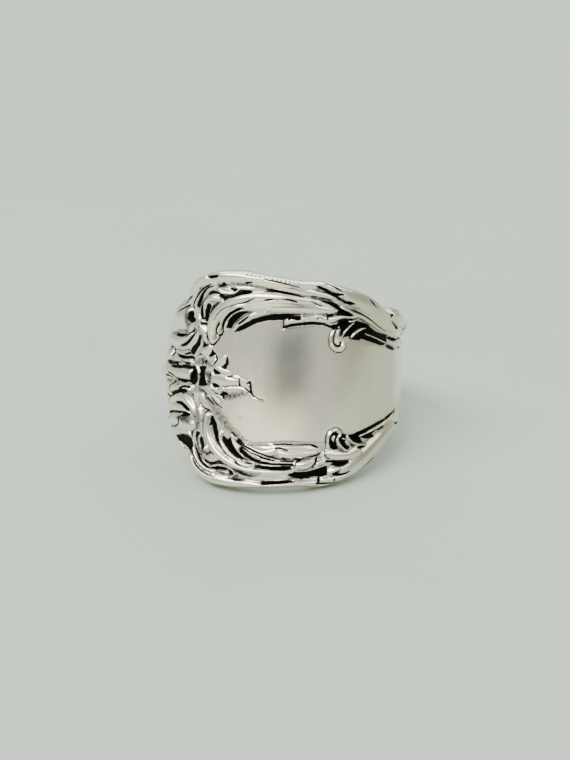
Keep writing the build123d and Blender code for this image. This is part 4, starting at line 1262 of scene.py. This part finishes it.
# The ring: one closed skin of silver plate over the bent blank and its struck face. Each loop of
# the mesh runs over the outside, down the upper edge, back along the finger hole and up the lower
# edge. The edges are eased for the finger, and both ends are filed round.
face_places = 224
trial_places = 401
plain_spacing = 0.7
edge_round = 0.38
narrow_edge_share = 0.6
relief_margin = 0.3
relief_end = 93.0
relief_run_out = 9.0
clean_edge = 0.1
clean_edge_fade = 0.2
tip_swell = 0.32
swell_start = -58.0
swell_run = 20.0
finger_ease = 0.25
edge_places = np.array([0.75, 0.5, 0.25, 0.0])
inner_places = np.linspace(1, -1, 11)
end_round = 0.3
end_slopes = (80, 55, 28)
net_margin = 1.001
face_map_size = 40

# Lengths along the face are taken at one radius, between its ground and the tops of its scrolls.
reading_radius = 10.95

# Where the relief is read. Toward the tip it is squeezed a little along the band, so it is read
# further along there than the arc's own length. Columns: degrees round the finger, along.
READING = (
    (-100.0, -20.0),
    (-86.0, -16.8),
    (-78.0, -15.2),
    (-70.0, -13.4),
    (-60.0, -11.37),
    (60.0, 11.37),
    (75.0, 14.3),
    (90.0, 17.2),
    (300.0, 57.4),
)
reading = np.interp(turns, *zip(*READING))


def read_net(field, along, up):
    """The value of a field between the places of the net, and at its edge for places beyond it."""
    column = np.clip((along - net_along[0]) / net_step, 0, len(net_along) - net_margin)
    row = np.clip((up - net_up[0]) / net_step, 0, len(net_up) - net_margin)
    i, j = column.astype(int), row.astype(int)
    s, t = column - i, row - j
    near = field[i, j] * (1 - t) + field[i, j + 1] * t
    far = field[i + 1, j] * (1 - t) + field[i + 1, j + 1] * t
    return near * (1 - s) + far * s


def on_blank(share):
    """Heights on the blank, from shares of its half width above and below."""
    return np.where(share > 0, share * above[:, None], share * below[:, None])


# Places on the outside are closer together on the relief than on the plain part of the panel.
even = np.linspace(-1, 1, trial_places)
tried = on_blank(even[None, :] + 0 * reading[:, None])
need = 1 - plain_spacing * read_net(plain, reading[:, None] + 0 * even, tried)
reached = np.cumsum(need, axis=1)
reached = (reached - reached[:, :1]) / (reached[:, -1:] - reached[:, :1])
across = np.array([np.interp(np.linspace(0, 1, face_places), row, even) for row in reached])
up = on_blank(across)
along = reading[:, None] * np.ones_like(up)

# The outside is the relief, or the plain wall where that is thicker, with its edges rounded over.
swell = tip_swell * ramp(swell_start - turns, swell_run)[:, None]
swell = swell * (2 - swell / tip_swell)
from_edge = np.minimum(above[:, None] - up, up + below[:, None])
rounding = np.minimum(edge_round, narrow_edge_share * np.minimum(above, below))[:, None]
short = np.clip(rounding - from_edge, 0, None)
dropped = rounding - np.sqrt(np.clip(rounding**2 - short**2, 0, None))
relief_fade = ramp(relief_end - turns, relief_run_out)[:, None]
relief_here = read_net(metal, along, up) * ramp(from_edge, relief_margin) ** 0.5
struck = ground_radius + relief_here * relief_fade
struck += swell
plain_outside = finger_radius + wall[:, None] + 0 * up
outside = np.maximum(struck, plain_outside) - dropped
clean_fade = ramp(from_edge - clean_edge, clean_edge_fade)
tarnish_and_shade_here = read_net(tarnish_and_shade, along, up) * relief_fade * clean_fade

# Whole loops: the outside, the upper edge, the finger hole and the lower edge.
edge_low = finger_radius + finger_ease
inner_above = (above[:, None] - finger_ease) * np.clip(inner_places, 0, 1)
inner_below = (below[:, None] - finger_ease) * np.clip(inner_places, -1, 0)
loop_radius = np.hstack([
    outside,
    edge_low + (outside[:, -1:] - edge_low) * edge_places,
    np.full((len(turns), len(inner_places)), finger_radius),
    edge_low + (outside[:, :1] - edge_low) * edge_places[::-1],
])
loop_up = np.hstack([
    up,
    np.repeat(above[:, None], len(edge_places), axis=1),
    inner_above + inner_below,
    np.repeat(-below[:, None], len(edge_places), axis=1),
])
loop_tarnish_and_shade = np.hstack([tarnish_and_shade_here, np.zeros((len(turns), loop_up.shape[1] - face_places))])
loop_turn = np.repeat(np.radians(turns)[:, None], loop_up.shape[1], axis=1)


def filed_end(number, way):
    """Loops beyond one end, outermost first, that draw in toward the middle of the section."""
    made = []
    middle_radius = 0.5 * (loop_radius[number].max() + finger_radius)
    for slope in end_slopes:
        out = end_round * sin(radians(slope))
        inset = end_round * (1 - cos(radians(slope)))
        radius = loop_radius[number] - np.clip(loop_radius[number] - middle_radius, -inset, inset)
        height = loop_up[number] - np.clip(loop_up[number], -inset, inset)
        made.append((radius, height, loop_turn[number] + way * out / reading_radius))
    return made


tip_end, shaft_loops = filed_end(0, -1), filed_end(-1, 1)[::-1]
skin_radius, skin_up, skin_turn = (
    np.vstack([[loop[part] for loop in tip_end], whole, [loop[part] for loop in shaft_loops]])
    for part, whole in enumerate((loop_radius, loop_up, loop_turn))
)
skin_tarnish_and_shade = np.vstack(
    [loop_tarnish_and_shade[:1]] * len(end_slopes) + [loop_tarnish_and_shade] + [loop_tarnish_and_shade[-1:]] * len(end_slopes)
)

# The ring's own directions as it rests, from the finger hole in the record.
hole = frame["record"]["mounts"][0]
ring_middle = Vector(hole["pos_m"])
finger_way = Vector(hole["axis"]).normalized()
face_way = Vector((0, -finger_way.z, finger_way.y)).normalized()
right_way = finger_way.cross(face_way).normalized()
placed = Matrix((right_way, -face_way, finger_way)).transposed()

points = np.stack(
    [skin_radius * np.sin(skin_turn), -skin_radius * np.cos(skin_turn), skin_up], axis=-1
)
points = points.reshape(-1, 3) @ np.array(placed).T / 1000 + np.array(ring_middle)
loops, places = skin_radius.shape
number = np.arange(loops * places).reshape(loops, places)
following = np.roll(number, -1, axis=1)
faces = np.stack([number[:-1], following[:-1], following[1:], number[1:]], axis=-1)
end_faces = [number[0, ::-1].tolist(), number[-1].tolist()]

ring_mesh = bpy.data.meshes.new("ring")
ring_mesh.from_pydata(points.tolist(), [], faces.reshape(-1, 4).tolist() + end_faces)
ring_mesh.update()
worked = bmesh.new()
worked.from_mesh(ring_mesh)
bmesh.ops.recalc_face_normals(worked, faces=worked.faces)
worked.to_mesh(ring_mesh)
worked.free()
ring_mesh.shade_smooth()

# The finish reads wear from a flat map of the face. It reads the tarnish, together with the painted
# shade among the brown marks, from each point.
face_map = ring_mesh.uv_layers.new(name="face")
corner = np.empty(len(ring_mesh.loops), dtype=np.int32)
ring_mesh.loops.foreach_get("vertex_index", corner)
flat = np.stack([skin_turn * reading_radius, skin_up], axis=-1).reshape(-1, 2)
flat = flat / face_map_size + 0.5
face_map.data.foreach_set("uv", flat[corner].astype(np.float32).ravel())
kept_tarnish_and_shade = ring_mesh.attributes.new("tarnish_and_shade", "FLOAT", "POINT")
kept_tarnish_and_shade.data.foreach_set("value", skin_tarnish_and_shade.ravel().astype(np.float32))

ring = bpy.data.objects.new("ring", ring_mesh)
bpy.context.collection.objects.link(ring)
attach(ring, "root")
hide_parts("ring_band")

# Old silver plate: polished on the high places, a little warm, with fine wear lines along the band
# and near-black tarnish left in the hollows. The soft brown marks are partly painted shade, and the
# duller tone toward the shaft is painted shade.
silver = bpy.data.materials.new("old_silver_plate")
silver.use_nodes = True
plating = silver.node_tree
polished = (0.985, 0.955, 0.825)
brown = (0.52, 0.50, 0.45)
dark_brown = (0.13, 0.12, 0.10)
near_black = (0.006, 0.006, 0.005)
cloud_dim = (0.95, 0.945, 0.93)
clean = (1, 1, 1)
brushed_tone = (0.88, 0.89, 0.90)
dull_tone = (0.71, 0.69, 0.65)
scratch_strength = 0.12
scratch_depth = 0.00002


def add_node(tree, kind, inputs, **settings):
    """Adds a node. Each of these inputs gets a value, or a link from another node's socket."""
    made = tree.nodes.new(kind)
    for name, setting in settings.items():
        setattr(made, name, setting)
    for name, given in inputs.items():
        if isinstance(given, bpy.types.NodeSocket):
            tree.links.new(given, made.inputs[name])
        else:
            made.inputs[name].default_value = given
    return made


def colour_scale(tree, value, stops, interpolation="LINEAR"):
    """A scale of colours over a value. Stops are pairs of place and colour, from low to high."""
    scale = add_node(tree, "ShaderNodeValToRGB", {"Fac": value})
    scale.color_ramp.interpolation = interpolation
    elements = scale.color_ramp.elements
    for element, (place, colour) in zip(elements, (stops[0], stops[-1])):
        element.position = place
        element.color = (*colour, 1)
    for place, colour in stops[1:-1]:
        elements.new(place).color = (*colour, 1)
    return scale.outputs["Color"]


def toned(tree, colour, tone, share):
    """A colour multiplied by a tone, in this share."""
    inputs = {"Fac": share, "Color1": colour, "Color2": tone}
    return add_node(tree, "ShaderNodeMixRGB", inputs, blend_type="MULTIPLY").outputs["Color"]


def wear(name, along_scale, up_scale, detail):
    """A noise read along the band, stretched as wear is."""
    stretch = add_node(
        plating, "ShaderNodeMapping", {"Vector": face_reading, "Scale": (along_scale, up_scale, 1)}
    )
    inputs = {"Vector": stretch.outputs["Vector"], "Scale": 1.0, "Detail": detail}
    return add_node(plating, "ShaderNodeTexNoise", inputs, name=name).outputs["Fac"]


def spread(value, low, high):
    """Brings a noise from its middle range to the range low to high."""
    inputs = {"Value": value, "From Min": 0.3, "From Max": 0.7, "To Min": low, "To Max": high}
    return add_node(plating, "ShaderNodeMapRange", inputs).outputs["Result"]


def added(first, second):
    """The sum of two values."""
    return add_node(plating, "ShaderNodeMath", {0: first, 1: second}, operation="ADD").outputs[0]


face_reading = add_node(plating, "ShaderNodeUVMap", {}, uv_map="face").outputs["UV"]
fine_lines = wear("wear_lines", along_scale=60, up_scale=900, detail=4)
cloudy = wear("cloudy_polish", along_scale=14, up_scale=18, detail=5)
ragged = wear("tarnish_and_shade_edge", along_scale=160, up_scale=160, detail=6)
dark = add_node(plating, "ShaderNodeAttribute", {}, attribute_name="tarnish_and_shade").outputs["Fac"]
ragged_dark = added(dark, spread(ragged, -0.12, 0.12))
tint = colour_scale(
    plating, ragged_dark, ((0.08, polished), (0.25, brown), (0.42, dark_brown), (0.62, near_black))
)

# Clouds and brush marks dim the polish. Toward the shaft the colour is dulled, a painted shade that
# stands in for the darker reflection there.
cloud_tone = colour_scale(plating, cloudy, ((0.25, cloud_dim), (0.75, clean)))
brush_marks = spread(wear("brushed", along_scale=90, up_scale=5, detail=3), 0.0, 0.5)
brushed = toned(plating, cloud_tone, (*brushed_tone, 1), brush_marks)
# Columns: place on the flat map, share of the dull tone.
DULL_SHARES = ((0.58, 0.0), (0.72, 1.0), (0.80, 1.0), (0.845, 0.25))
toward_shaft = add_node(plating, "ShaderNodeSeparateXYZ", {"Vector": face_reading}).outputs["X"]
painted_shade_toward_shaft = colour_scale(
    plating, toward_shaft, [(place, (share,) * 3) for place, share in DULL_SHARES], "EASE"
)
duller = toned(plating, brushed, (*dull_tone, 1), painted_shade_toward_shaft)
silver_colour = toned(plating, tint, duller, 1.0)

tarnish_and_shade_range = {"Value": ragged_dark, "From Min": 0.2, "From Max": 0.8, "To Max": 0.4}
rough_tarnish_and_shade = add_node(plating, "ShaderNodeMapRange", tarnish_and_shade_range).outputs["Result"]
roughness = added(spread(cloudy, 0.185, 0.225), rough_tarnish_and_shade)
scratches = {"Strength": scratch_strength, "Distance": scratch_depth, "Height": fine_lines}
scratched = add_node(plating, "ShaderNodeBump", scratches).outputs["Normal"]
silver_shader = plating.nodes["Principled BSDF"]
silver_shader.inputs["Metallic"].default_value = 1.0
plating.links.new(silver_colour, silver_shader.inputs["Base Color"])
plating.links.new(roughness, silver_shader.inputs["Roughness"])
plating.links.new(scratched, silver_shader.inputs["Normal"])
ring_mesh.materials.append(silver)


# The floor: one large sheet of plain pale paper with a faint grain, laid flat. The ring only rests
# on it, on the lower edge of its face and the lower edge of its shaft.
floor_size = 1.2
corner_ways = ((-1, -1), (1, -1), (1, 1), (-1, 1))
floor_corners = [(x * floor_size, y * floor_size, 0) for x, y in corner_ways]
floor_mesh = bpy.data.meshes.new("floor")
floor_mesh.from_pydata(floor_corners, [], [(0, 1, 2, 3)])
floor = bpy.data.objects.new("floor", floor_mesh)
bpy.context.collection.objects.link(floor)

paper = bpy.data.materials.new("pale_paper")
paper.use_nodes = True
pulp = paper.node_tree
paper_places = add_node(pulp, "ShaderNodeTexCoord", {}).outputs["Object"]
paper_grain = {"Vector": paper_places, "Scale": 60, "Detail": 4}
grain = add_node(pulp, "ShaderNodeTexNoise", paper_grain).outputs["Fac"]
paper_tone = colour_scale(pulp, grain, ((0, (0.438, 0.509, 0.443)), (1, (0.474, 0.548, 0.480))))
paper_shader = pulp.nodes["Principled BSDF"]
paper_shader.inputs["Roughness"].default_value = 0.7
paper_shader.inputs["Specular IOR Level"].default_value = 0.2
pulp.links.new(paper_tone, paper_shader.inputs["Base Color"])
floor_mesh.materials.append(paper)


# The studio: plain pale walls all round, with a brighter band high up that adds soft light from
# above, and three large soft lamps that hang above the ring on three sides. Soft oval patches of
# the walls are lighter, warmer or darker, and the polished silver shows them.
studio = bpy.data.worlds.new("studio")
bpy.context.scene.world = studio
studio.use_nodes = True
walls = studio.node_tree
wall_brightness = 1.5

# Columns: height on the wall, as the sine of its elevation, and tone.
WALL_TONES = (
    (0.0, (0.50, 0.48, 0.43)),
    (0.14, (0.50, 0.485, 0.44)),
    (0.27, (0.432, 0.450, 0.40)),
    (0.50, (0.450, 0.471, 0.41)),
    (0.66, (0.52, 0.52, 0.49)),
    (0.78, (0.95, 0.95, 0.91)),
    (0.90, (0.85, 0.85, 0.82)),
    (1.0, (0.40, 0.40, 0.40)),
)
# Columns: azimuth, elevation, half width and half height in degrees, and tone. Azimuth 0 is in
# front of the ring's face and 90 to its right.
WALL_PATCHES = {
    "dark": (4, 16.4, 36, 10.6, (0.0, 0.02, 0.08)),
    "warm": (-25, 1, 60, 17, (2.6, 2.57, 2.28)),
    "dim": (78, 8, 52, 35, (0.73, 0.75, 0.69)),
    "light": (9, 0, 28, 13, (1.75, 1.70, 1.58)),
}
patch_depth = 0.8
patch_full_share = 0.2

wall_way = add_node(walls, "ShaderNodeTexCoord", {}).outputs["Generated"]
wall_height = add_node(walls, "ShaderNodeSeparateXYZ", {"Vector": wall_way}).outputs["Z"]
wall_colour = colour_scale(walls, wall_height, WALL_TONES)
for azimuth, elevation, half_width, half_height, tone in WALL_PATCHES.values():
    patch = add_node(
        walls,
        "ShaderNodeMapping",
        {
            "Vector": wall_way,
            "Location": (
                sin(radians(azimuth)) * cos(radians(elevation)),
                -cos(radians(azimuth)) * cos(radians(elevation)),
                sin(radians(elevation)),
            ),
            "Rotation": (radians(-elevation), 0, radians(azimuth)),
            "Scale": (sin(radians(half_width)), patch_depth, sin(radians(half_height))),
        },
        vector_type="TEXTURE",
    )
    away = add_node(
        walls, "ShaderNodeVectorMath", {0: patch.outputs["Vector"]}, operation="LENGTH"
    )
    soft = add_node(
        walls,
        "ShaderNodeMapRange",
        {"Value": away.outputs["Value"], "From Min": 1.0, "From Max": patch_full_share},
        interpolation_type="SMOOTHSTEP",
    )
    wall_colour = toned(walls, wall_colour, (*tone, 1), soft.outputs["Result"])
wall_light = walls.nodes["Background"]
wall_light.inputs["Strength"].default_value = wall_brightness
walls.links.new(wall_colour, wall_light.inputs["Color"])

# Columns: name, place in metres, width, height, power in watts, colour.
LAMPS = (
    ("window", (-0.27, -0.27, 0.57), 0.75, 0.28, 6.0, (1.0, 0.98, 0.95)),
    ("fill", (0.40, -0.05, 0.50), 0.45, 0.45, 1.0, (0.96, 0.99, 0.98)),
    ("back", (0.05, 0.45, 0.40), 0.60, 0.40, 1.5, (0.98, 1.0, 0.98)),
)
for name, place, width, height, power, colour in LAMPS:
    lamp_data = bpy.data.lights.new(name, "AREA")
    lamp_data.shape = "RECTANGLE"
    lamp_data.size = width
    lamp_data.size_y = height
    lamp_data.energy = power
    lamp_data.color = colour
    lamp = bpy.data.objects.new(name, lamp_data)
    lamp.location = place
    lamp.rotation_mode = "QUATERNION"
    lamp.rotation_quaternion = (ring_middle - Vector(place)).to_track_quat("-Z", "Y")
    bpy.context.collection.objects.link(lamp)


# The camera stands in front of the face, raised a few degrees along the way of the finger hole,
# and is turned one degree about its own view. Its lens is long, as for small things near by.
camera_distance = 0.230
camera_rise = radians(4.5)
camera_roll = radians(1.0)
camera_lens = 118.8
camera_film = 36
aim_below = 0.00076
view_way = face_way * cos(camera_rise) + finger_way * sin(camera_rise)
view_up = finger_way * cos(camera_rise) - face_way * sin(camera_rise)
view_right = view_up.cross(view_way).normalized()
roll = Matrix.Rotation(camera_roll, 3, view_way)
camera_place = ring_middle - view_up * aim_below + view_way * camera_distance
camera_way = Matrix((roll @ view_right, roll @ view_up, view_way)).transposed()
camera_data = bpy.data.cameras.new("camera")
camera_data.lens = camera_lens
camera_data.sensor_width = camera_film
camera_data.sensor_fit = "AUTO"
camera = bpy.data.objects.new("camera", camera_data)
camera.matrix_world = Matrix.Translation(camera_place) @ camera_way.to_4x4()
bpy.context.collection.objects.link(camera)
bpy.context.scene.camera = camera
